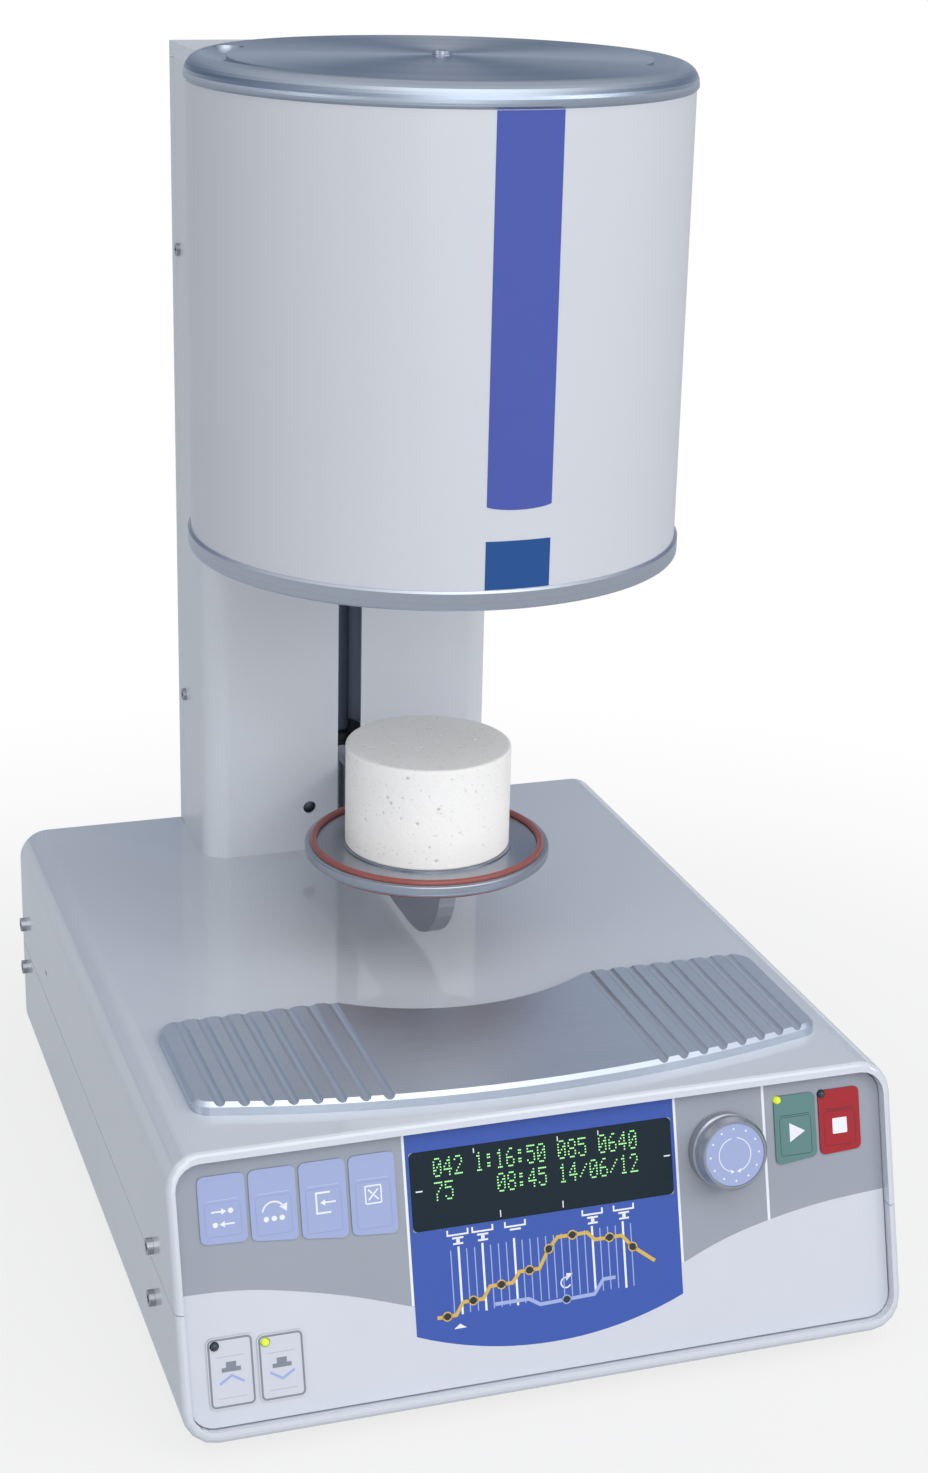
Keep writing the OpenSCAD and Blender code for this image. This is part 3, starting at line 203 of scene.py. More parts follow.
# %% The lathe group
lathe, given = new_group("lathe_marks", "Dark", {"Rings per metre": 1400.0, "Matt": 0.24})
split = add(lathe, "ShaderNodeSeparateXYZ", Vector=given["Position"]).outputs
radius = length_of(lathe, split[0], split[1])
along = maths(lathe, "ADD", radius, maths(lathe, "MULTIPLY", split[2], 0.7))
scaled = maths(lathe, "MULTIPLY", along, given["Rings per metre"])
rings = noise_on(lathe, scaled, "W", noise_dimensions="1D", Scale=1.0, Detail=4.0, Roughness=0.7)
broad = noise_on(lathe, along, "W", noise_dimensions="1D", Scale=60.0, Detail=1.0)
mixed = weigh(lathe, rings, 0.55, broad, 0.45)
close_group(lathe, blend_colours(lathe, mixed, given["Colour"], given["Dark"]), rings,
            maths(lathe, "MULTIPLY_ADD", mixed, 0.16, given["Matt"]))

# %% [markdown]
# ### Milled grain
# The cooling tray and the sheet brackets carry a straight grain. The same noise is read
# in a space that is stretched a hundred times along the grain.

# %% The grain group
grain, given = new_group("milled_grain", "Dark", {"Stretch": (12.0, 1500.0, 1500.0), "Matt": 0.26})
scaled = add(grain, "ShaderNodeVectorMath", operation="MULTIPLY")
grain.links.new(given["Position"], scaled.inputs[0])
grain.links.new(given["Stretch"], scaled.inputs[1])
hairs = noise_on(grain, scaled.outputs[0], Scale=1.0, Detail=3.0, Roughness=0.65)
stains = noise_on(grain, given["Position"], Scale=22.0, Detail=3.0)
mixed = weigh(grain, hairs, 0.6, stains, 0.4)
close_group(grain, blend_colours(grain, mixed, given["Colour"], given["Dark"]), hairs,
            maths(grain, "MULTIPLY_ADD", stains, 0.18, given["Matt"]))

# %% [markdown]
# ### One maker for the painted, turned and grained materials
# A material is one Principled shader with one of the groups in front of it. Numbers that
# are the same all over, such as the metalness, are set on the shader itself. The helper
# named dress puts a finished material on the pieces that it is told.

# %% Make a material from a group
COAT_ROUGHNESS, BUMP_DEPTH = 0.05, 0.001

def new_material(name, values):
    made = bpy.data.materials.new(name)
    made.use_nodes = True
    shader = made.node_tree.nodes["Principled BSDF"]
    for key, value in values.items():
        shader.inputs[key].default_value = value
    return made, made.node_tree, shader

def object_place(tree):
    return add(tree, "ShaderNodeTexCoord").outputs["Object"]

def finish(name, group, colours, position=None, metallic=0.0, bump=0.03, coat=0.0, extra=None, **inputs):
    made, tree, shader = new_material(name, {"Metallic": metallic, "Coat Weight": coat,
                                             "Coat Roughness": COAT_ROUGHNESS})
    place = object_place(tree)
    if position:
        centre, turn = position
        shift = -(Matrix.Rotation(turn, 3, "X") @ Vector(centre))
        mapping = add(tree, "ShaderNodeMapping", Vector=place, Rotation=(turn, 0, 0), Location=shift)
        place = mapping.outputs["Vector"]
    used = add(tree, "ShaderNodeGroup", node_tree=group)
    tree.links.new(place, used.inputs["Position"])
    used.inputs[1].default_value, used.inputs[2].default_value = colours
    for key, value in inputs.items():
        used.inputs[key.replace("_", " ").capitalize()].default_value = value
    tree.links.new(used.outputs["Colour"], shader.inputs["Base Color"])
    tree.links.new(used.outputs["Gloss"], shader.inputs["Roughness"])
    relief = add(tree, "ShaderNodeBump", Strength=bump, Distance=BUMP_DEPTH, Height=used.outputs["Height"])
    tree.links.new(relief.outputs[0], shader.inputs["Normal"])
    if extra:
        extra(tree, shader, used)
    return made

def dress(names, material):
    for name in names.split():
        NODES[name].data.materials.clear()
        NODES[name].data.materials.append(material)

# %% [markdown]
# ## The finishes of the furnace
# The cabinet, the column and the head's jacket are painted a cool light grey. The column
# is a touch lighter, and the cabinet has the glossiest coat. Inside, the column is given a
# darker slate grey, which is painted shade, so the slot reads as a dark line. Its material
# turns dark where a point lies inside the sheet: the distance from the line through the
# rounded corners' centres tells inner from outer skin, also in the bends.

# %% Painted sheet
COLUMN_CORNER, SKIN_LINE = 0.011, 0.0007

# Painted shade: the column's inner skin gets a darker slate colour in place of the shade inside it.
def painted_shade_inside(tree, shader, used):
    parts = add(tree, "ShaderNodeSeparateXYZ", Vector=object_place(tree)).outputs
    low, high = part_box("column_shell")
    past_x = maths(tree, "SUBTRACT", maths(tree, "ABSOLUTE", parts[0]), high.x - COLUMN_CORNER)
    past_y = maths(tree, "SUBTRACT", low.y + COLUMN_CORNER, parts[1])
    away = length_of(tree, *(maths(tree, "MAXIMUM", past, 0.0) for past in (past_x, past_y)))
    inside = maths(tree, "LESS_THAN", away, COLUMN_CORNER - SKIN_LINE)
    shade = blend_colours(tree, inside, used.outputs["Colour"], tint(150, 170, 200))
    tree.links.new(shade, shader.inputs["Base Color"])

dress("base_cover base_tray rear_panel column_cap",
      finish("cabinet_paint", paint, (tint(210, 215, 223), tint(202, 208, 217)), coat=1.0))
dress("head_jacket",
      finish("jacket_paint", paint, (tint(208, 211, 217), tint(200, 204, 212)), coat=0.15, cloud_size=5.0))
dress("column_shell column_rear_cover",
      finish("column_paint", paint, (tint(222, 226, 231), tint(213, 218, 224)), coat=0.25, extra=painted_shade_inside))
dress("column_frame", finish("slate_paint", paint, (tint(206, 224, 248), tint(194, 212, 238))))
print("painted pieces done")

# %% [markdown]
# ### Turned and milled aluminium
# The cap was spun against a tool, so a light runs over it in fans. The flange and the
# platform show them too. Rings alone don't give that: the shader's Anisotropic value
# stretches each highlight across the rings, and a Tangent node tells it which way they run.

# %% Turned pieces
def fans(amount):
    def apply(tree, shader, used):
        shader.inputs["Anisotropic"].default_value = amount
        tangent = add(tree, "ShaderNodeTangent", direction_type="RADIAL", axis="Z")
        tree.links.new(tangent.outputs[0], shader.inputs["Tangent"])
    return apply

def metal(name, group, light, dark, bump, axis=None, metallic=1.0, **more):
    return finish(name, group, (tint(*light), tint(*dark)), axis, metallic, bump, **more)

low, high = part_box("head_jacket")
head_axis = ((low + high) / 2).xy.to_3d()
UPRIGHT = (head_axis, 0)
dress("top_cap", metal("spun_cap", lathe, (188, 196, 206), (150, 160, 174), 0.05, UPRIGHT, extra=fans(0.85)))
dress("lower_flange cap_screw",
      metal("turned_flange", lathe, (210, 214, 222), (170, 176, 188), 0.04, UPRIGHT, matt=0.2,
            extra=fans(0.85)))
dress("platform",
      metal("turned_platform", lathe, (190, 194, 201), (150, 156, 166), 0.05, UPRIGHT, extra=fans(0.75)))
dress("case_screws column_screws guide_rods encoder_shaft",
      metal("ground_steel", lathe, (190, 192, 196), (140, 143, 150), 0.02))
dress("lead_screw",
      metal("greased_steel", lathe, (150, 166, 190), (120, 136, 160), 0.02, metallic=0.4, matt=0.4))
dress("vacuum_nipple inlet_pins", metal("turned_brass", lathe, (208, 172, 104), (160, 124, 66), 0.03))
print("turned pieces done")

# %% Milled and folded pieces
dress("cooling_tray",
      metal("milled_tray", grain, (216, 222, 232), (186, 195, 208), 0.02, metallic=0.88, matt=0.34))
dress("bearing_blocks carriage lift_arm head_bracket front_panel vacuum_can",
      metal("sheet_aluminium", grain, (186, 190, 196), (150, 154, 162), 0.03, stretch=(1500.0, 12.0, 1500.0)))
print("milled pieces done")

# %% [markdown]
# ### Films, rubber and moulded plastic
# The key panel is a printed film with a very fine satin grain. The same paint group serves
# with smaller clouds, since film and moulded plastic also have a tone that drifts and a
# fine ripple. Only the colours and sizes differ.

# %% The films
def film(name, shown, **more):
    colour = tint(*shown)
    shade = tuple(0.94 * c for c in colour[:3]) + (1.0,)
    return finish(name, paint, (colour, shade), cloud_size=30.0, ripple_size=2600.0, **more)

foil_film = film("film_grey", (156, 162, 173))
white_film = film("film_white", (208, 212, 222))
blue_film = film("film_blue", (58, 88, 172))
line_film = film("film_line", (236, 239, 246))
key_film = film("key_film_blue", (160, 172, 212))
green_film = film("key_film_green", (96, 134, 132))
red_film = film("key_film_red", (166, 32, 42))
lift_film = film("key_film_white", (206, 210, 220))
ink_grey = film("ink_grey", (132, 138, 150))
ink_pale = film("ink_pale_blue", (160, 176, 222))
key_line = film("key_hairline", (184, 194, 228))
# key_shade is a darker blue: painted shade for the pressed frames on the blue keys.
key_shade = film("key_frame_blue", (146, 159, 204))
ink_gold = film("ink_gold", (214, 178, 84))
ink_node = film("ink_dark", (44, 50, 58))
BLUE_KEYS = ("program_key", "skip_key", "enter_key", "escape_key")
KEY_FILMS = {**dict.fromkeys(BLUE_KEYS, key_film), "run_key": green_film, "stop_key": red_film,
             "lift_up_key": lift_film, "lift_down_key": lift_film}
for key, skin in KEY_FILMS.items():
    dress(key, skin)
dress("front_foil", foil_film)
dress("knob_insert", key_film)
print("films done")

# %% Plastics, rubber, boards and the hot parts
dress("power_inlet fuse_caps switch_frame power_rocker encoder_body display_module lead_nut pump_outlet",
      film("black_plastic", (38, 39, 42), bump=0.08))
dress("rubber_feet", film("foot_rubber", (44, 45, 48), bump=0.15))
dress("seal_rings", film("seal_silicone", (150, 82, 76), bump=0.05))
dress("keypad_boards power_board", film("solder_mask", (30, 92, 58)))
dress("transformer", film("winding_tape", (196, 128, 50), bump=0.2))
dress("lift_motor", film("motor_paint", (52, 53, 56)))
dress("fibre_lining ceramic_muffle", film("ceramic_fibre", (236, 232, 222), bump=0.5))
dress("heating_coil thermocouple", film("oxidised_wire", (120, 112, 106), metallic=1.0))
print("plastics done")

# %% [markdown]
# ### The smoked window and the lamps
# The display sits behind a dark filter with a glossy face. It is nearly black, so plain
# low colour and low roughness do it. The lit lamps glow a little, the others are dark
# lenses.

# %% Window and lamps
def lens_skin(name, shown, glow=0.0, gloss=0.12):
    made = film(name, shown)
    shader = made.node_tree.nodes["Principled BSDF"]
    made.node_tree.links.remove(shader.inputs["Roughness"].links[0])
    for key, value in (("Roughness", gloss), ("Emission Color", tint(*shown)), ("Emission Strength", glow)):
        shader.inputs[key].default_value = value
    return made

def dull(material, level):
    material.node_tree.nodes["Principled BSDF"].inputs["Specular IOR Level"].default_value = level

window_skin = lens_skin("smoked_window", (32, 44, 52), gloss=0.1)
dull(window_skin, 0.14)
digit_skin = lens_skin("lit_dots", (150, 222, 142), glow=0.7, gloss=0.4)
dress("display_window", window_skin)
dress("lit_lamps", lens_skin("lit_lamp", (204, 224, 62), glow=0.35))
dress("dark_lamps", lens_skin("dark_lamp", (48, 62, 70)))
print("window and lamps done")

# %% [markdown]
# ## Working on the sloping panel
# Everything on the panel is drawn flat, in millimetres: x across, v up the slope from the
# film's lower edge, and h out of the panel. One matrix carries such a drawing to the
# furnace. It is read off the frame, from the way the keys are pressed and from the film.

# %% The panel's own axes
def joint_of(name):
    return next(joint for joint in frame["joints"] if joint["name"] == name)

OUT = -Vector(joint_of("program_key_press")["axis"]).normalized()
ACROSS = Vector((1, 0, 0))
UP = OUT.cross(ACROSS).normalized()

def reach(node, direction):
    along = [v.co.dot(direction) for v in NODES[node].data.vertices]
    return min(along), max(along)

v_low, v_high = reach("front_foil", UP)
face = reach("front_foil", OUT)[1]
PANEL = Matrix((ACROSS * 0.001, UP * 0.001, OUT * 0.001)).transposed().to_4x4()
PANEL.translation = UP * v_low + OUT * face

def height_of(node):
    return 1000 * (reach(node, OUT)[1] - face)

def place_of(node):
    a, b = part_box(node)
    v0, v1 = (1000 * (v - v_low) for v in reach(node, UP))
    return 1000 * a.x, v0, 1000 * b.x, v1

def grown(place, by):
    x0, v0, x1, v1 = place
    return x0 - by, v0 - by, x1 + by, v1 + by

low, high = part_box("front_foil")
FOIL_W, FOIL_H = 1000 * (high.x - low.x), 1000 * (v_high - v_low)
print("film", round(FOIL_W, 1), "x", round(FOIL_H, 1), "mm; keys stand", round(height_of("run_key"), 2),
      "window", round(height_of("display_window"), 2), "knob", round(height_of("knob_insert"), 2))

# %% [markdown]
# ### Prints as thin slabs
# A print could be a colour pattern in the film's material. As thin closed slabs, a few
# hundredths of a millimetre proud, each keeps a crisp edge at any distance and can ride
# on a key that moves. A slab is one or more flat loops, filled, and given a thickness.

# %% Helpers for flat shapes
def slab_into(mesh, loops, low, high):
    points = [Vector((x, y, 0)) for loop in loops for x, y in loop]
    faces = tessellate_polygon([[Vector((x, y, 0)) for x, y in loop] for loop in loops])
    bottom = [mesh.verts.new((p.x, p.y, low)) for p in points]
    top = [mesh.verts.new((p.x, p.y, high)) for p in points]
    for a, b, c in faces:
        flip = (points[b] - points[a]).cross(points[c] - points[a]).z < 0
        order = (c, b, a) if flip else (a, b, c)
        mesh.faces.new([top[i] for i in order])
        mesh.faces.new([bottom[i] for i in reversed(order)])
    start = 0
    for loop in loops:
        n = len(loop)
        for i in range(n):
            j = (i + 1) % n
            mesh.faces.new((bottom[start + i], bottom[start + j], top[start + j], top[start + i]))
        start += n

def closed_mesh(name, mesh):
    bmesh.ops.recalc_face_normals(mesh, faces=mesh.faces)
    data = bpy.data.meshes.new(name)
    mesh.to_mesh(data)
    mesh.free()
    return data

def add_piece(name, data, body):
    piece = in_scene(name, data)
    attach(piece, body)

def print_on(name, body, material, shapes, low=-0.02, high=0.06):
    mesh = bmesh.new()
    for loops in shapes:
        slab_into(mesh, loops, low, high)
    data = closed_mesh(name, mesh)
    data.transform(PANEL)
    data.materials.append(material)
    add_piece(name, data, body)

# %% Arcs, boxes and lines
def arc(cx, cy, r, a0, a1, n=12):
    angles = [math.radians(a0 + (a1 - a0) * i / n) for i in range(n + 1)]
    return [(cx + r * math.cos(a), cy + r * math.sin(a)) for a in angles]

def rounded(x0, y0, x1, y1, r, n=6):
    return (arc(x1 - r, y0 + r, r, -90, 0, n) + arc(x1 - r, y1 - r, r, 0, 90, n)
            + arc(x0 + r, y1 - r, r, 90, 180, n) + arc(x0 + r, y0 + r, r, 180, 270, n))

def disc(cx, cy, r, n=20):
    return arc(cx, cy, r, 0, 360, n)[:-1]

def box2(x0, y0, x1, y1):
    return [(x0, y0), (x1, y0), (x1, y1), (x0, y1)]

def stroke(path, width):
    """The outline of a line of that width along the points, with mitred corners."""
    left, right = [], []
    for i, p in enumerate(path):
        p = Vector(p)
        before = (p - Vector(path[i - 1])).normalized() if i else None
        after = (Vector(path[i + 1]) - p).normalized() if i < len(path) - 1 else None
        way = ((before or after) + (after or before)).normalized()
        side = Vector((-way.y, way.x)) * width / 2 / max(0.5, way.dot(after or before))
        left.append(tuple(p + side))
        right.append(tuple(p - side))
    return left + right[::-1]

# %% [markdown]
# ### The film's two fields and the blue block
# The film is grey above and white below. Their border sweeps down from both ends to the
# blue block in the middle. The block ends in a shallow arc and has a hole for the window.
# The border is a smooth curve through a few points, so a Catmull-Rom spline draws it.

# %% Fields of the panel
def smooth(points, steps=8):
    padded = [points[0]] + points + [points[-1]]
    curve = []
    for i in range(1, len(padded) - 2):
        p0, p1, p2, p3 = (Vector(p) for p in padded[i - 1:i + 3])
        for k in range(steps):
            t = k / steps
            q = 0.5 * (2 * p1 + (p2 - p0) * t + (2 * p0 - 5 * p1 + 4 * p2 - p3) * t ** 2
                       + (3 * p1 - p0 - 3 * p2 + p3) * t ** 3)
            curve.append(tuple(q))
    return curve + [points[-1]]

RIM, CORNER, KEY_GAP, WINDOW_GAP = 0.15, 8.8, 0.25, 0.1
HALF = FOIL_W / 2 - RIM
BLOCK_HALF, BLOCK_FOOT, BLOCK_TOP = 53.9, 21.7, FOIL_H - RIM
BOW_V, BOW_R = 158.0, 146.6
border_left = smooth([(-HALF, 50.7), (-125, 50.2), (-107.2, 47.9), (-80, 41.6), (-BLOCK_HALF, 33.2)])
border_right = smooth([(BLOCK_HALF, 33.4), (72, 40.4), (91.6, 45.3), (115, 49.0), (HALF, 50.9)])
block_end = ([(-BLOCK_HALF, BLOCK_FOOT)] + arc(0, BOW_V, BOW_R, 248.4, 291.6, 20)[1:-1]
             + [(BLOCK_HALF, BLOCK_FOOT)])
white_field = (border_left + block_end + border_right
               + [(HALF, RIM + CORNER)] + arc(HALF - CORNER, RIM + CORNER, CORNER, 0, -90, 6)[1:]
               + arc(-HALF + CORNER, RIM + CORNER, CORNER, -90, -180, 6))
key_holes = [rounded(*grown(place_of(key), KEY_GAP), 2.2) for key in ("lift_up_key", "lift_down_key")]
print_on("white_field", "base", white_film, [[white_field] + key_holes], high=0.05)

block = [(-BLOCK_HALF, BLOCK_TOP)] + block_end + [(BLOCK_HALF, BLOCK_TOP)]
window_hole = rounded(*grown(place_of("display_window"), WINDOW_GAP), 1.0)
print_on("blue_block", "base", blue_film, [[block, window_hole]], high=0.07)
edges = [[stroke([(x, FOIL_H - 0.2), (x, foot)], width)]
         for x, foot, width in ((-54.5, 33.6, 1.0), (54.5, 33.8, 1.0), (91.7, 45.3, 1.1))]
print_on("panel_lines", "base", line_film, edges, high=0.09)
print("white field of", len(white_field), "points, block of", len(block), "points")

# %% [markdown]
# ### The rows of lit numbers
# The display is a dot-matrix module: each figure is a grid of 5 by 7 square dots. A small
# table holds the figures, and Geometry Nodes put one square tile on each lit place. The
# tiles' size and thickness are inputs of the tree, so the look is tuned in one place. The
# same kind of tree lays round dots and bars further on. The numbers are made up.

# %% Geometry Nodes that set a small shape on every point
def begin_tree(name, sizes):
    tree = bpy.data.node_groups.new(name, "GeometryNodeTree")
    inputs = [("Points", "Geometry")] + [(size, "Float") for size in sizes] + [("Finish", "Material")]
    for label, kind in inputs:
        tree.interface.new_socket(label, in_out="INPUT", socket_type="NodeSocket" + kind)
    tree.interface.new_socket("Copies", in_out="OUTPUT", socket_type="NodeSocketGeometry")
    return tree, tree.nodes.new("NodeGroupInput").outputs

def repeat_on_points(tree, given, shape, turn=0.0):
    put = add(tree, "GeometryNodeInstanceOnPoints", Points=given["Points"], Instance=shape,
              Rotation=(0, 0, turn))
    real = add(tree, "GeometryNodeRealizeInstances", Geometry=put.outputs["Instances"])
    coat = add(tree, "GeometryNodeSetMaterial", Geometry=real.outputs["Geometry"], Material=given["Finish"])
    tree.links.new(coat.outputs["Geometry"], tree.nodes.new("NodeGroupOutput").inputs["Copies"])
    return tree

def tile_tree(name, corners):
    tree, given = begin_tree(name, ("Size", "Depth"))
    tile = add(tree, "GeometryNodeMeshCylinder", Vertices=corners, Radius=given["Size"], Depth=given["Depth"])
    return repeat_on_points(tree, given, tile.outputs["Mesh"], math.pi / 4 if corners == 4 else 0)

def bake_tree(name, tree, points, values, body, place):
    data = bpy.data.meshes.new(name + "_points")
    data.from_pydata(points, [], [])
    source = in_scene(name + "_source", data)
    modifier = source.modifiers.new("tiles", "NODES")
    modifier.node_group = tree
    for item in tree.interface.items_tree:
        if item.item_type == "SOCKET" and item.in_out == "INPUT" and item.name in values:
            modifier[item.identifier] = values[item.name]
    bpy.context.view_layer.update()
    shape = source.evaluated_get(bpy.context.evaluated_depsgraph_get())
    made = bpy.data.meshes.new_from_object(shape)
    made.name = name
    source.modifiers.clear()
    bpy.data.objects.remove(source)
    made.transform(place)
    add_piece(name, made, body)
    print(name, "has", len(made.polygons), "faces")

# %% The figures and their dots
FIGURES = {"0": "0E 11 13 15 19 11 0E", "1": "04 0C 04 04 04 04 0E", "2": "0E 11 01 02 04 08 1F",
           "3": "1F 02 04 02 01 11 0E", "4": "02 06 0A 12 1F 02 02", "5": "1F 10 1E 01 01 11 0E",
           "6": "06 08 10 1E 11 11 0E", "7": "1F 01 02 04 08 08 08", "8": "0E 11 11 0E 11 11 0E",
           "9": "0E 11 11 0F 01 02 0C", ":": "00 0C 0C 00 0C 0C 00", "/": "00 01 02 04 08 10 00",
           " ": "00 " * 7}

FIRST_X, PITCH, DOT_X, DOT_V = -43.0, 4.13, 0.66, 1.09

def dots_of(row, v0):
    spots = []
    for i, figure in enumerate(row):
        for r, line in enumerate(FIGURES[figure].split()):
            for c in range(5):
                if int(line, 16) >> (4 - c) & 1:
                    spots.append((FIRST_X + i * PITCH + c * DOT_X, v0 + (6 - r) * DOT_V, 0))
    return spots

spots = dots_of("042 1:16:50 085 0640", 81.4) + dots_of("75    08:45 14/06/12", 72.3)
lift = Matrix.Translation((0, 0, height_of("display_window") + 0.02))
bake_tree("display_dots", tile_tree("square_dots", 4), spots,
          {"Size": 0.37, "Depth": 0.05, "Finish": digit_skin}, "base", PANEL @ lift)

# %% [markdown]
# ### Marks round the numbers
# Short ticks frame the figures on the window. They are part of the same dark filter, so
# they lie on its face.

# %% Marks on the window
on_glass = height_of("display_window")
marks = [[box2(x, 76.2, x + 2.6, 76.7)] for x in (-50.6, 49.2)]
marks += [[box2(x, 62.4, x + 0.4, 65.0)] for x in (-18.2, 6.9)]
marks += [[box2(x, 88.2, x + 0.4, 90.0)] for x in (-27.3, 6.2, 22.7)]
print_on("window_marks", "base", line_film, marks, on_glass - 0.02, on_glass + 0.05)

# %% [markdown]
# ### The firing diagram
# Below the window, the panel shows how a firing runs: thin upright lines for the stages,
# a stepped gold line for the heat with a dark dot at each stage, and a pale line for the
# vacuum. The upright lines repeat, so a Geometry Nodes tree lays a row of bars. The
# diagram's own steps are freely drawn.

# %% The upright lines
def bar_tree(name):
    tree, given = begin_tree(name, ("Width", "Length", "Depth"))
    size = add(tree, "ShaderNodeCombineXYZ", X=given["Width"], Y=given["Length"], Z=given["Depth"])
    bar = add(tree, "GeometryNodeMeshCube", Size=size.outputs[0])
    return repeat_on_points(tree, given, bar.outputs["Mesh"])

FIRST_LINE, LINE_PITCH = -38.6, 3.15
bars = bar_tree("stage_lines")
bake_tree("diagram_lines", bars, [(FIRST_LINE + LINE_PITCH * i, 40.2, 0.08) for i in range(24)],
          {"Width": 0.42, "Length": 24.5, "Depth": 0.06, "Finish": ink_pale}, "base", PANEL)
bake_tree("diagram_heavy_lines", bars, [(x, 40.6, 0.09) for x in (-35.45, -26.0, -13.4, 18.1, 30.7)],
          {"Width": 0.85, "Length": 26.0, "Depth": 0.06, "Finish": line_film}, "base", PANEL)

# %% The heat line, its dots and the vacuum line
heat = [(-45.5, 27.6), (-38, 27.6), (-35, 32.2), (-27, 32.2), (-24, 36.6), (-15, 36.6), (-12, 40.4),
        (-4, 40.4), (0, 47.2), (4, 51.4), (16, 51.4), (19, 48.2), (30, 48.2), (34, 43.4), (43, 36.4)]
vacuum = [(-22.5, 29.4), (-9, 29.4), (-4.5, 26.6), (17.5, 27.2), (21.5, 32.4), (26.5, 32.4)]
stops = [(-41.5, 27.6), (-31, 32.2), (-19.5, 36.6), (-8, 40.4), (0.2, 47.4), (10, 51.4), (25, 48.2),
         (34.2, 43.2)]
pump_stop, LINE_WIDTH, STOP_R = (6.2, 26.9), 1.4, 1.9
heat_shapes = [[stroke(heat, LINE_WIDTH)]] + [[disc(x, v, STOP_R)] for x, v in stops]
print_on("heat_line", "base", ink_gold, heat_shapes, high=0.15)
vacuum_shapes = [[stroke(vacuum, LINE_WIDTH)], [disc(*pump_stop, 1.85)]]
print_on("vacuum_line", "base", ink_pale, vacuum_shapes, high=0.14)
print_on("diagram_dots", "base", ink_node, [[disc(x, v, 1.4)] for x, v in stops + [pump_stop]], high=0.17)

# %% [markdown]
# Small signs over the lines show the pedestal at each stage: a plate with a foot. They
# are drawn once and repeated. A little triangle marks the start, and a curled arrow stands
# over the vacuum line.

# %% Signs over the diagram
def plate_sign(x, v, up):
    shapes = [[box2(x - 2.2, v, x + 2.2, v + 0.7)], [box2(x - 0.7, v - 1.6, x + 0.7, v - 0.1)],
              [box2(x - 2.0, v - 2.2, x + 2.0, v - 1.5)]]
    rim = stroke([(x - 4.0, v + 3.6), (x - 4.0, v + 1.6), (x + 4.0, v + 1.6), (x + 4.0, v + 3.6)], 0.65)
    return shapes + [[rim]] if up else shapes[:1] + [[rim]]

SIGN_V, SIGNS = 56.6, ((-35.45, True), (-25.6, True), (-12.6, False), (18.6, True), (31.4, True))
signs = sum((plate_sign(x, SIGN_V, up) for x, up in SIGNS), [])
signs += [[[(-39.2, 22.4), (-34.2, 22.4), (-36.7, 24.2)]], [stroke(arc(6.3, 33.4, 2.0, 60, 330, 14), 0.55)],
          [[(6.4, 34.0), (9.3, 36.6), (6.7, 37.0)]]]
print_on("diagram_signs", "base", line_film, signs, high=0.1)
print("diagram with", len(stops), "stages")

# %% [markdown]
# ## The keys' film
# On the real panel one film runs over keys and frame alike, so no gap shows round a key.
# A key that moves can't share a film with the frame, so each gets a cap of its own film
# that reaches a little over the gap. Its outline is read off the key: the edges that only
# one triangle of the top face uses form its border, and the border is pushed outwards.

# %% Film caps on the keys
def spread(loop):
    return max(x for x, v in loop) - min(x for x, v in loop)

def top_loops(name):
    data, top = NODES[name].data, reach(name, OUT)[1]
    flat = [(round(1000 * v.co.dot(ACROSS), 4), round(1000 * (v.co.dot(UP) - v_low), 4))
            for v in data.vertices]
    edges = set()
    for side in data.polygons:
        if side.normal.dot(OUT) > 0.99 and abs(side.center.dot(OUT) - top) < 1e-5:
            corners = [flat[i] for i in side.vertices]
            edges.update(zip(corners, corners[1:] + corners[:1]))
    after = {a: b for a, b in edges if (b, a) not in edges}
    loops = []
    while after:
        a = next(iter(after))
        loop = []
        while a in after:
            loop.append(a)
            a = after.pop(a)
        loops.append(loop)
    return sorted(loops, key=spread, reverse=True)

def push_out(loop, by):
    moved = []
    for i, p in enumerate(loop):
        p = Vector(p)
        one = (p - Vector(loop[i - 1])).normalized()
        two = (Vector(loop[(i + 1) % len(loop)]) - p).normalized()
        way = (one + two).normalized()
        side = Vector((way.y, -way.x))
        moved.append(tuple(p + side * by / max(0.5, way.dot(one))))
    return moved

OVER, FILM = 0.32, 0.03
for key, skin in KEY_FILMS.items():
    border, *holes = top_loops(key)
    top = height_of(key)
    print_on(key + "_film", key + "_body", skin, [[push_out(border, OVER)] + holes], top - FILM, top + FILM)
    print(key, "has a border of", len(border), "points and", len(holes), "lamp holes")

# %% [markdown]
# ## The keys' icons
# Each blue key carries a white sign under a hairline, and a faint frame that is pressed
# into the film. The frame is drawn as a darker blue line, which is painted shade of that
# groove. The signs ride on their own keys, so they go down when a key is pressed.
# The places come from each key's box, and the signs are drawn about the key's middle.

# %% A small arrow, a frame, and a sign on a key
def arrow(x0, v0, x1, v1, width=0.6, head=1.9):
    tip = Vector((x1, v1))
    way = (tip - Vector((x0, v0))).normalized()
    neck, side = tip - way * head, Vector((-way.y, way.x)) * head * 0.62
    return [[stroke([(x0, v0), tuple(neck)], width)], [[tuple(tip), tuple(neck + side), tuple(neck - side)]]]

def frame_line(place, r, width=0.25):
    return [[rounded(*place, r, 4), rounded(*grown(place, -width), r - width, 4)]]

def sign_on(key, name, material, shapes, proud=0.09):
    top = height_of(key)
    print_on(name, key + "_body", material, shapes, top + 0.01, top + proud)

def key_middle(name):
    x0, v0, x1, v1 = place_of(name)
    return (x0 + x1) / 2, v1

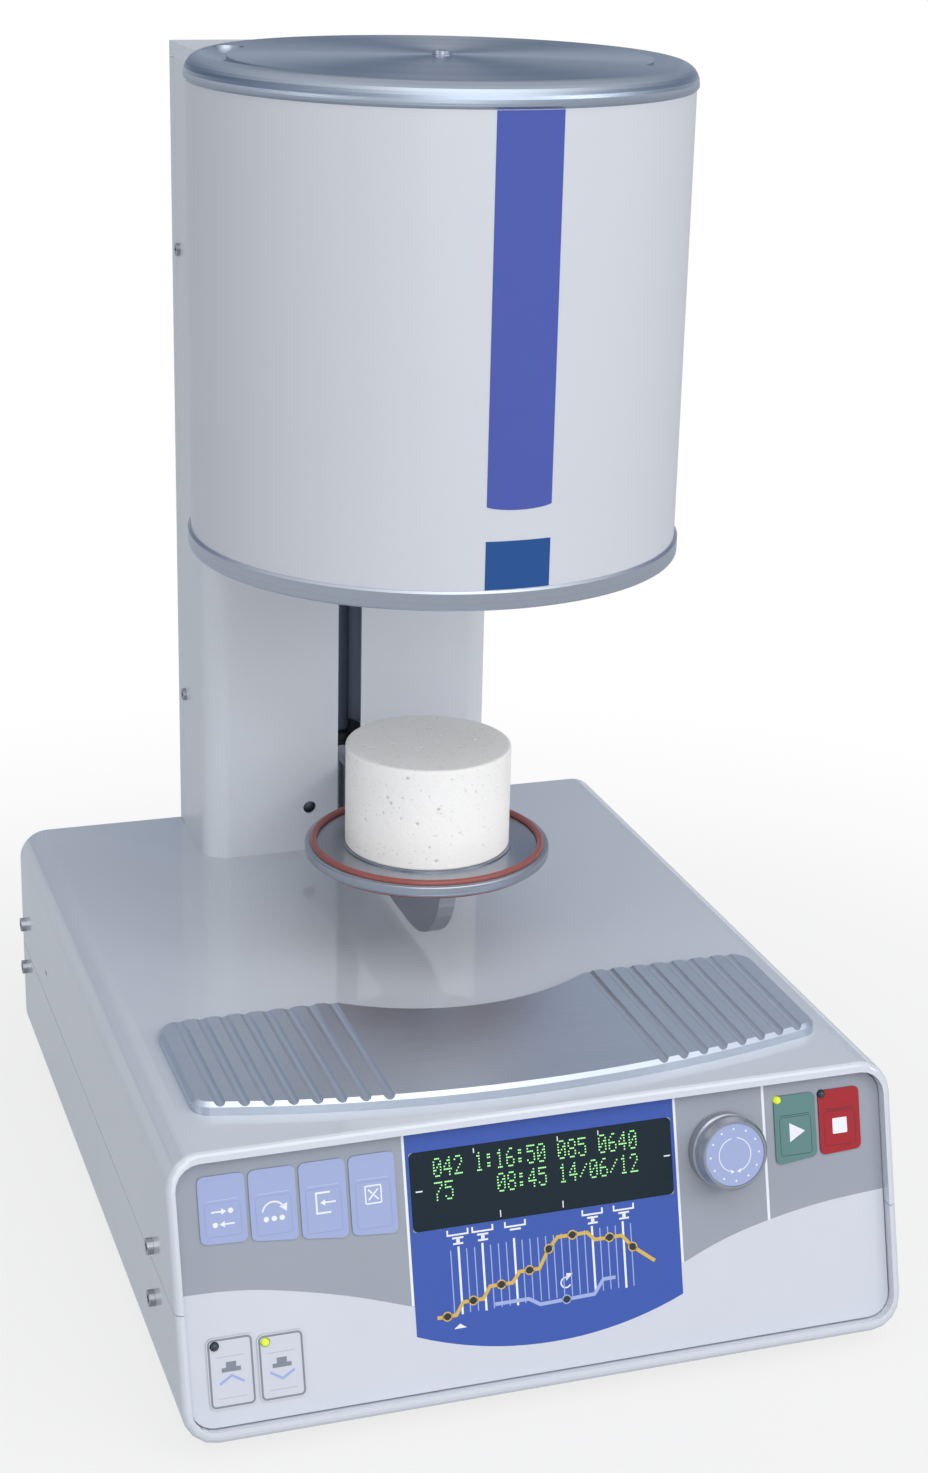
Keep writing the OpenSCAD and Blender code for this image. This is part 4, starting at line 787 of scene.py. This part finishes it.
# %% Signs of the program and skip keys
cx, top = key_middle("program_key")
signs = arrow(cx - 4.2, top - 13.2, cx + 1.4, top - 13.2) + [[disc(cx + 3.0, top - 13.2, 1.0)]]
signs += arrow(cx + 4.2, top - 18.0, cx - 1.4, top - 18.0) + [[disc(cx - 3.0, top - 18.0, 1.0)]]
sign_on("program_key", "program_sign", line_film, signs)
cx, top = key_middle("skip_key")
signs = [[stroke(arc(cx, top - 16.6, 4.3, 168, 32, 12), 0.6)]]
signs += [[[(cx + 4.9, top - 16.4), (cx + 2.2, top - 14.4), (cx + 5.2, top - 13.2)]]]
signs += [[disc(cx + d, top - 18.6, 1.0)] for d in (-3.0, 0, 3.0)]
sign_on("skip_key", "skip_sign", line_film, signs)

# %% Signs of the enter and escape keys
cx, top = key_middle("enter_key")
near, far = cx + 2.6, cx - 2.8
signs = [[stroke([(near, top - 11.6), (far, top - 11.6), (far, top - 19.2), (near, top - 19.2)], 0.7)]]
signs += arrow(cx + 4.6, top - 15.4, cx - 1.4, top - 15.4)
sign_on("enter_key", "enter_sign", line_film, signs)
cx, top = key_middle("escape_key")
signs = frame_line((cx - 3.3, top - 18.6, cx + 3.3, top - 11.4), 0.6, 0.55)
cross = (((-1.9, 17), (1.9, 13)), ((-1.9, 13), (-0.35, 14.63)), ((0.35, 15.37), (1.9, 17)))
signs += [[stroke([(cx + x, top - down) for x, down in line], 0.6)] for line in cross]
sign_on("escape_key", "escape_sign", line_film, signs)

# %% Hairlines and frames of the blue keys
for key in BLUE_KEYS:
    x0, v0, x1, v1 = place_of(key)
    sign_on(key, key + "_hairline", key_line, [[box2(x0 + 2.6, v1 - 9.1, x1 - 2.6, v1 - 8.8)]], 0.07)
    # Painted shade: the frame's darker blue stands in for the shade in the pressed groove.
    sign_on(key, key + "_frame", key_shade, frame_line((x0 + 1.7, v0 + 2.6, x1 - 1.7, v1 - 9.9), 1.2), 0.07)
print("blue keys signed")

# %% [markdown]
# The run and stop keys take the signs that players and machines share: a triangle and a
# square. Their hairlines are dark. The lift keys are white with a grey outline, a grey
# pedestal and a pale arrowhead that points up or down.

# %% Run, stop and lift keys
cx, top = key_middle("run_key")
triangle = [(cx - 2.6, top - 18.4), (cx + 4.0, top - 14.6), (cx - 2.6, top - 10.8)]
cx, top = key_middle("stop_key")
square = rounded(cx - 3.1, top - 17.6, cx + 3.1, top - 11.4, 0.4, 3)
for word, drawing in (("run", triangle), ("stop", square)):
    x0, v0, x1, v1 = place_of(word + "_key")
    lines = [[box2(x0 + 2.4, v1 - 7.8, x1 - 2.4, v1 - 7.6)]]
    lines += frame_line((x0 + 1.8, v0 + 2.8, x1 - 1.8, v1 - 8.4), 1.2, 0.16)
    sign_on(word + "_key", word + "_sign", line_film, [[drawing]])
    sign_on(word + "_key", word + "_frame", ink_node, lines, 0.07)
for key, point in (("lift_up_key", 1), ("lift_down_key", -1)):
    x0, v0, x1, v1 = place_of(key)
    cx, mid = (x0 + x1) / 2, v1 - 11.6
    pedestal = [[box2(cx - 3.6, mid - 1.2, cx + 3.6, mid + 0.4)],
                [box2(cx - 1.9, mid + 0.3, cx + 1.9, mid + 2.5)]]
    sign_on(key, key + "_outline", ink_grey, frame_line(grown(place_of(key), -0.15), 1.9, 0.75) + pedestal)
    ends, peak = mid - 4.1 - 1.4 * point, mid - 4.1 + 1.4 * point
    sign_on(key, key + "_arrow", ink_pale, [[stroke([(cx - 4.6, ends), (cx, peak), (cx + 4.6, ends)], 0.95)]])
    lines = [[box2(x0 + 3.2, v, x1 - 3.2, v + 0.15)] for v in (v1 - 7.1, v0 + 3.6)]
    sign_on(key, key + "_frame", foil_film, lines, 0.06)
print("run, stop and lift keys signed")

# %% [markdown]
# ## The knob
# The knob is turned from aluminium and carries a blue disc. Its lathe marks run about its
# own axis, which leans with the panel, so the material's Mapping node turns the position
# first. Twelve dots stand round the disc, set by the same tile tree on a ring of points,
# and two arcs with arrowheads show that it turns both ways.

# %% Knob finish and marks
DOT_RING, ARC_RING = 10.1, 6.6
knob_at = Vector(joint_of("knob_turn")["pos_m"])
lean = -math.atan2(-OUT.y, OUT.z)
dress("encoder_knob", metal("turned_knob", lathe, (200, 203, 208), (160, 164, 172), 0.05, (knob_at, lean),
                            rings_per_metre=2600.0))
kx, kv = 1000 * knob_at.x, 1000 * (knob_at.dot(UP) - v_low)
kh = height_of("knob_insert")
steps = [math.radians(30 * i) for i in range(12)]
ring = [(kx + DOT_RING * math.sin(a), kv + DOT_RING * math.cos(a), 0) for a in steps]
bake_tree("knob_dots", tile_tree("round_dots", 12), ring, {"Size": 0.42, "Depth": 0.06, "Finish": line_film},
          "knob", PANEL @ Matrix.Translation((0, 0, kh + 0.01)))
turns = [[stroke(arc(kx, kv, ARC_RING, a0, a1, 16), 0.35)] for a0, a1 in ((100, 250), (80, -70))]
for side in (-1, 1):
    a = math.radians(270 + side * 15)
    px, pv = kx + ARC_RING * math.cos(a), kv + ARC_RING * math.sin(a)
    turns += [[[(px - side * 1.3, pv - 0.15), (px + side * 0.5, pv + 0.95), (px + side * 0.25, pv - 0.75)]]]
print_on("knob_arrows", "knob", line_film, turns, kh - 0.02, kh + 0.05)
print("knob at", round(kx, 1), round(kv, 1), "leans", round(math.degrees(lean), 1))

# %% [markdown]
# ## The stripe on the head
# A blue stripe runs down the jacket's front, with a rounded lower end, and a darker block
# stands under it. The vinyl lies on a cylinder, so it is cut into narrow upright strips
# whose points sit on the jacket's radius. Each strip's foot has its own height, and
# together they draw the rounded end.

# %% Vinyl on the jacket
low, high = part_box("head_jacket")
jacket_r, jacket_top, jacket_foot = (high.x - low.x) / 2, high.z, low.z
VINYL, UNDER, STRIPS = 0.0001, 0.00005, 24
WIDTH, MIDDLE, INSET = 0.0254, 0.002, 0.0002
STRIPE_FOOT, SAG, BLOCK_HEAD = 0.0328, 0.0026, 0.0186

def stripe_foot(t):
    return jacket_foot + STRIPE_FOOT - SAG * math.sqrt(max(0.0, 1 - 0.8 * t * t))

def wrapped(name, material, top, foot):
    mesh = bmesh.new()
    layers = []
    for r in (jacket_r - UNDER, jacket_r + VINYL):
        rows = []
        for i in range(STRIPS + 1):
            s = -WIDTH / 2 + WIDTH * i / STRIPS
            a, t = (MIDDLE + s) / jacket_r, 2 * s / WIDTH
            x, y = head_axis.x + r * math.sin(a), head_axis.y - r * math.cos(a)
            rows.append((mesh.verts.new((x, y, foot(t))), mesh.verts.new((x, y, top))))
        layers.append(rows)
    inner, outer = layers
    for i in range(STRIPS):
        j = i + 1
        mesh.faces.new((outer[i][0], outer[j][0], outer[j][1], outer[i][1]))
        mesh.faces.new((inner[i][1], inner[j][1], inner[j][0], inner[i][0]))
        mesh.faces.new((inner[i][0], inner[j][0], outer[j][0], outer[i][0]))
        mesh.faces.new((outer[i][1], outer[j][1], inner[j][1], inner[i][1]))
    for i in (0, STRIPS):
        loop = (inner[i][0], outer[i][0], outer[i][1], inner[i][1])
        mesh.faces.new(loop if i == 0 else loop[::-1])
    data = closed_mesh(name, mesh)
    data.materials.append(material)
    add_piece(name, data, "base")

stripe_film = film("stripe_blue", (80, 94, 170), matt=0.42)
block_film = film("stripe_deep_blue", (46, 84, 144), matt=0.42)
for vinyl in (stripe_film, block_film):
    dull(vinyl, 0.06)
wrapped("head_stripe", stripe_film, jacket_top - INSET, stripe_foot)
wrapped("head_block", block_film, jacket_foot + BLOCK_HEAD, lambda t: jacket_foot + INSET)
print("stripe on a radius of", round(1000 * jacket_r, 1), "mm")

# %% [markdown]
# ## The firing pedestal
# The work stands on a block of light firing brick. It is pale and chalky, with slightly
# broken edges and small open pores. The shape could stay the plain CAD cylinder with a
# bump, but pores on the rim show against the dark slot, so the block is built as a dense
# lathe mesh. Noise and a list of seeded pores push its points inwards. How deep a point
# lies in its pore is kept with it, and darkens the brick's colour there as painted shade.

# %% The block's outline
low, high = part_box("pedestal")
block_r, block_top, block_foot = (high.x - low.x) / 2, high.z, low.z
centre = Vector(((low.x + high.x) / 2, (low.y + high.y) / 2, 0))
AROUND, EDGE, STEP, FOOT_STEP = 400, 0.0012, 0.00054, 0.004
BEVEL_IN, BEVEL_UP = 0.0004, 0.0006
edge_foot, edge_in = block_top - EDGE, block_r - EDGE
profile = [(FOOT_STEP * k, block_foot) for k in range(1, int(block_r / FOOT_STEP))]
profile += [(block_r - BEVEL_IN, block_foot), (block_r, block_foot + BEVEL_UP)]
wall = int((edge_foot - block_foot) / STEP)
profile += [(block_r, block_foot + (edge_foot - block_foot) * k / wall) for k in range(2, wall)]
profile += [(edge_in + EDGE * math.cos(math.radians(a)), edge_foot + EDGE * math.sin(math.radians(a)))
            for a in (0, 30, 60, 90)]
profile += [(block_r - k * STEP, block_top) for k in range(3, int(block_r / STEP) - 1)]
print("outline of", len(profile), "points")

# %% The pores
PORES, PORE_SIZES, PORE_REACH = 230, (0.0003, 0.0003, 0.0004, 0.0004, 0.0005, 0.0007), 0.0013
dice = random.Random(7)
pores = []
for _ in range(PORES):
    if dice.random() < 0.6:
        a, z = dice.uniform(0, 2 * math.pi), dice.uniform(block_foot + 0.002, block_top)
        at = Vector((block_r * math.cos(a), block_r * math.sin(a), z))
    else:
        a, r = dice.uniform(0, 2 * math.pi), block_r * math.sqrt(dice.random())
        at = Vector((r * math.cos(a), r * math.sin(a), block_top))
    pores.append((at, dice.choice(PORE_SIZES)))
near_pores = KDTree(PORES)
for i, (at, size) in enumerate(pores):
    near_pores.insert(at, i)
near_pores.balance()

def pore_depth(p):
    depth = 0.0001 * max(0.0, noise.noise(p * 420)) + 0.00008 * max(0.0, noise.noise(p * 130))
    for at, index, away in near_pores.find_range(p, PORE_REACH):
        size = pores[index][1]
        if away < size:
            depth = max(depth, 1.3 * size * (1 - (away / size) ** 4))
    return depth

# %% A porous block
# The last two numbers set where the painted shade in a pore begins and over what depth it becomes full.
DEEPEST, PORE_SHADE_FROM, PORE_SHADE_OVER = 0.0011, 0.0002, 0.0004
mesh = bmesh.new()
pore_shade_layer = mesh.verts.layers.float.new("pore_shade")
rows = []
for r, z in profile:
    row = []
    for i in range(AROUND):
        a = 2 * math.pi * i / AROUND
        p = Vector((r * math.cos(a), r * math.sin(a), z))
        inward = Vector((-math.cos(a), -math.sin(a), 0)) if z < edge_foot else Vector((0, 0, -1))
        depth = pore_depth(p)
        if z > block_foot + 0.0001:
            p += inward * min(depth, DEEPEST)
        point = mesh.verts.new(centre + p)
        # The pore's depth, scaled to 0..1, is kept as the mask for painted shade in the brick's colour.
        point[pore_shade_layer] = min(1.0, max(0.0, depth - PORE_SHADE_FROM) / PORE_SHADE_OVER)
        row.append(point)
    rows.append(row)
for one, two in zip(rows, rows[1:]):
    for i in range(AROUND):
        j = (i + 1) % AROUND
        mesh.faces.new((one[i], one[j], two[j], two[i]))
for row, z in ((rows[0], block_foot), (rows[-1], block_top)):
    pole = mesh.verts.new(centre + Vector((0, 0, z)))
    for i in range(AROUND):
        mesh.faces.new((row[i], row[(i + 1) % AROUND], pole))
data = closed_mesh("firing_block", mesh)
data.polygons.foreach_set("use_smooth", [True] * len(data.polygons))
firing_block = in_scene("firing_block", data)
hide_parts("pedestal")
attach(firing_block, "tray_pedestal")
print("block of", len(data.polygons), "faces with", len(pores), "pores")

# %% [markdown]
# ### Firing brick
# The brick's colour is a warm white with cream clouds, fine brown grains and a few grey
# specks. Inside a pore it is darkened, as painted shade. Its surface scatters light evenly,
# so it is nearly fully rough, with a fine chalky bump.

# %% The brick's material
brick, tree, shader = new_material("firing_brick", {"Roughness": 0.95, "Specular IOR Level": 0.2})
place = object_place(tree)

def sprinkle(tone, scale, size, amount, colour):
    spots = add(tree, "ShaderNodeTexVoronoi", Vector=place, Scale=scale).outputs["Distance"]
    share = maths(tree, "MULTIPLY", maths(tree, "LESS_THAN", spots, size), amount)
    return blend_colours(tree, share, tone, colour)

clouds = noise_on(tree, place, Scale=60.0, Detail=4.0)
tone = blend_colours(tree, clouds, tint(255, 254, 252), tint(250, 248, 244))
tone = sprinkle(tone, 1100.0, 0.16, 0.3, tint(170, 152, 134))
tone = sprinkle(tone, 330.0, 0.13, 0.25, tint(150, 146, 138))
pore_shade_mask = add(tree, "ShaderNodeAttribute", attribute_name="pore_shade").outputs["Fac"]
# Painted shade: the colour turns grey-brown where a point lies deep in a pore.
tone = blend_colours(tree, maths(tree, "MULTIPLY", pore_shade_mask, 0.4), tone, tint(112, 104, 96))
tree.links.new(tone, shader.inputs["Base Color"])
chalk = noise_on(tree, place, Scale=1500.0, Detail=4.0, Roughness=0.7)
relief = add(tree, "ShaderNodeBump", Strength=0.35, Distance=0.0006, Height=chalk)
tree.links.new(relief.outputs[0], shader.inputs["Normal"])
data.materials.append(brick)
print("brick with", len(tree.nodes), "nodes")

# %% [markdown]
# ## Bench, light and world
# The furnace stands on a wide pale bench that melts into a white background: to the eye
# it turns plain white as it gets further from the furnace, and keeps the soft shadow near
# it. In reflections it turns a pale grey. Two soft lamps stand on the camera's side, at a
# height from which they also reach under the head, and a large one stands high above the
# camera. A small one at the left draws a bright streak down each turned edge. The world is
# white to the eye. In reflections it is white along the horizon, dark blue above that and
# pale again overhead. It adds an even light that is weaker from behind and from the left.

# %% The bench
WHITE = (1, 1, 1, 1)
bpy.ops.mesh.primitive_plane_add(size=40, location=(0, 0, cad_box[0][2]))
bench = bpy.context.object
bench.name = "bench"
surface, tree, shader = new_material("bench_white", {"Base Color": (0.55, 0.55, 0.56, 1), "Roughness": 0.95,
                                                     "Specular IOR Level": 0.1})
rays = add(tree, "ShaderNodeLightPath").outputs
seen = maths(tree, "MAXIMUM", rays["Is Camera Ray"], rays["Is Glossy Ray"])
away = add(tree, "ShaderNodeVectorMath", operation="LENGTH")
tree.links.new(object_place(tree), away.inputs[0])
fade = add(tree, "ShaderNodeMapRange", interpolation_type="SMOOTHSTEP", Value=away.outputs["Value"],
           **{"From Min": 0.2, "From Max": 0.7, "To Min": 0.78, "To Max": 1.0})
shown = blend_colours(tree, rays["Is Camera Ray"], (0.56, 0.60, 0.65, 1), WHITE)
glow = add(tree, "ShaderNodeEmission", Strength=1.0, Color=shown)
both = add(tree, "ShaderNodeMixShader")
parts = (maths(tree, "MULTIPLY", seen, fade.outputs["Result"]), shader.outputs[0], glow.outputs[0])
for part, socket in zip(parts, both.inputs):
    tree.links.new(part, socket)
tree.links.new(both.outputs[0], tree.nodes["Material Output"].inputs["Surface"])
bench.data.materials.append(surface)
bench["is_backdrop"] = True
print("bench at", round(cad_box[0][2], 4))

# %% The lamps
def soft_lamp(name, at, aim, size, power, colour=(1, 1, 1)):
    lamp = bpy.data.lights.new(name, "AREA")
    lamp.shape, lamp.size, lamp.energy, lamp.color = "SQUARE", size, power, colour
    holder = in_scene(name, lamp)
    holder.location = at
    holder.rotation_euler = (Vector(aim) - Vector(at)).to_track_quat("-Z", "Y").to_euler()

soft_lamp("right_softbox", (1.6, -1.5, 1.2), (0, 0, 0.2), 0.6, 7, (0.97, 0.98, 1.0))
soft_lamp("left_softbox", (-0.5, -2.4, 0.9), (0, 0, 0.16), 1.2, 9)
soft_lamp("side_softbox", (-2.2, -0.75, 0.9), (0, 0, 0.4), 0.45, 5)
soft_lamp("high_softbox", (0.1, -1.5, 1.9), (0, 0, 0.1), 2.2, 24)
print(len(bpy.data.lights), "lamps")

# %% The world
world = bpy.data.worlds.new("studio")
bpy.context.scene.world = world
world.use_nodes = True
tree = world.node_tree
rays = add(tree, "ShaderNodeLightPath").outputs
way = add(tree, "ShaderNodeSeparateXYZ", Vector=add(tree, "ShaderNodeTexCoord").outputs["Generated"]).outputs

def soft_ramp(slope, start):
    height = maths(tree, "MULTIPLY_ADD", way[2], slope, start)
    return maths(tree, "SMOOTH_MIN", maths(tree, "MAXIMUM", height, 0.0), 1.0, 0.2)

sheen = blend_colours(tree, soft_ramp(6.5, 0.0), WHITE, (0.13, 0.19, 0.30, 1))
sheen = blend_colours(tree, soft_ramp(3.4, -1.5), sheen, (0.80, 0.82, 0.85, 1))
for_sight = blend_colours(tree, rays["Is Camera Ray"], sheen, WHITE)
seen = maths(tree, "MAXIMUM", maths(tree, "MAXIMUM", rays["Is Camera Ray"], rays["Is Glossy Ray"]),
             rays["Is Transmission Ray"])
rightward = maths(tree, "MULTIPLY_ADD", way[0], 0.32, 0.5)
forward = maths(tree, "MULTIPLY_ADD", way[1], -0.32, rightward)
even = blend_colours(tree, forward, (0.23, 0.26, 0.30, 1), (0.76, 0.76, 0.77, 1))
background = tree.nodes["Background"].inputs
tree.links.new(blend_colours(tree, seen, even, for_sight), background["Color"])
background["Strength"].default_value = 1.0
bpy.context.scene.view_settings.view_transform = "Standard"
print("lit")

# %% [markdown]
# ## Measure
# The finished furnace's box is measured, and how much it grew past its frame's is printed.
# The finished furnace must fill the same box as its frame.

# %% Finish
furnace_box = [list(c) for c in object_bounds()]
growth = [(b[1] - b[0]) - (a[1] - a[0]) for a, b in zip(zip(*cad_box), zip(*furnace_box))]
print("box grew by, in millimetres:", [round(1000 * more, 2) for more in growth])
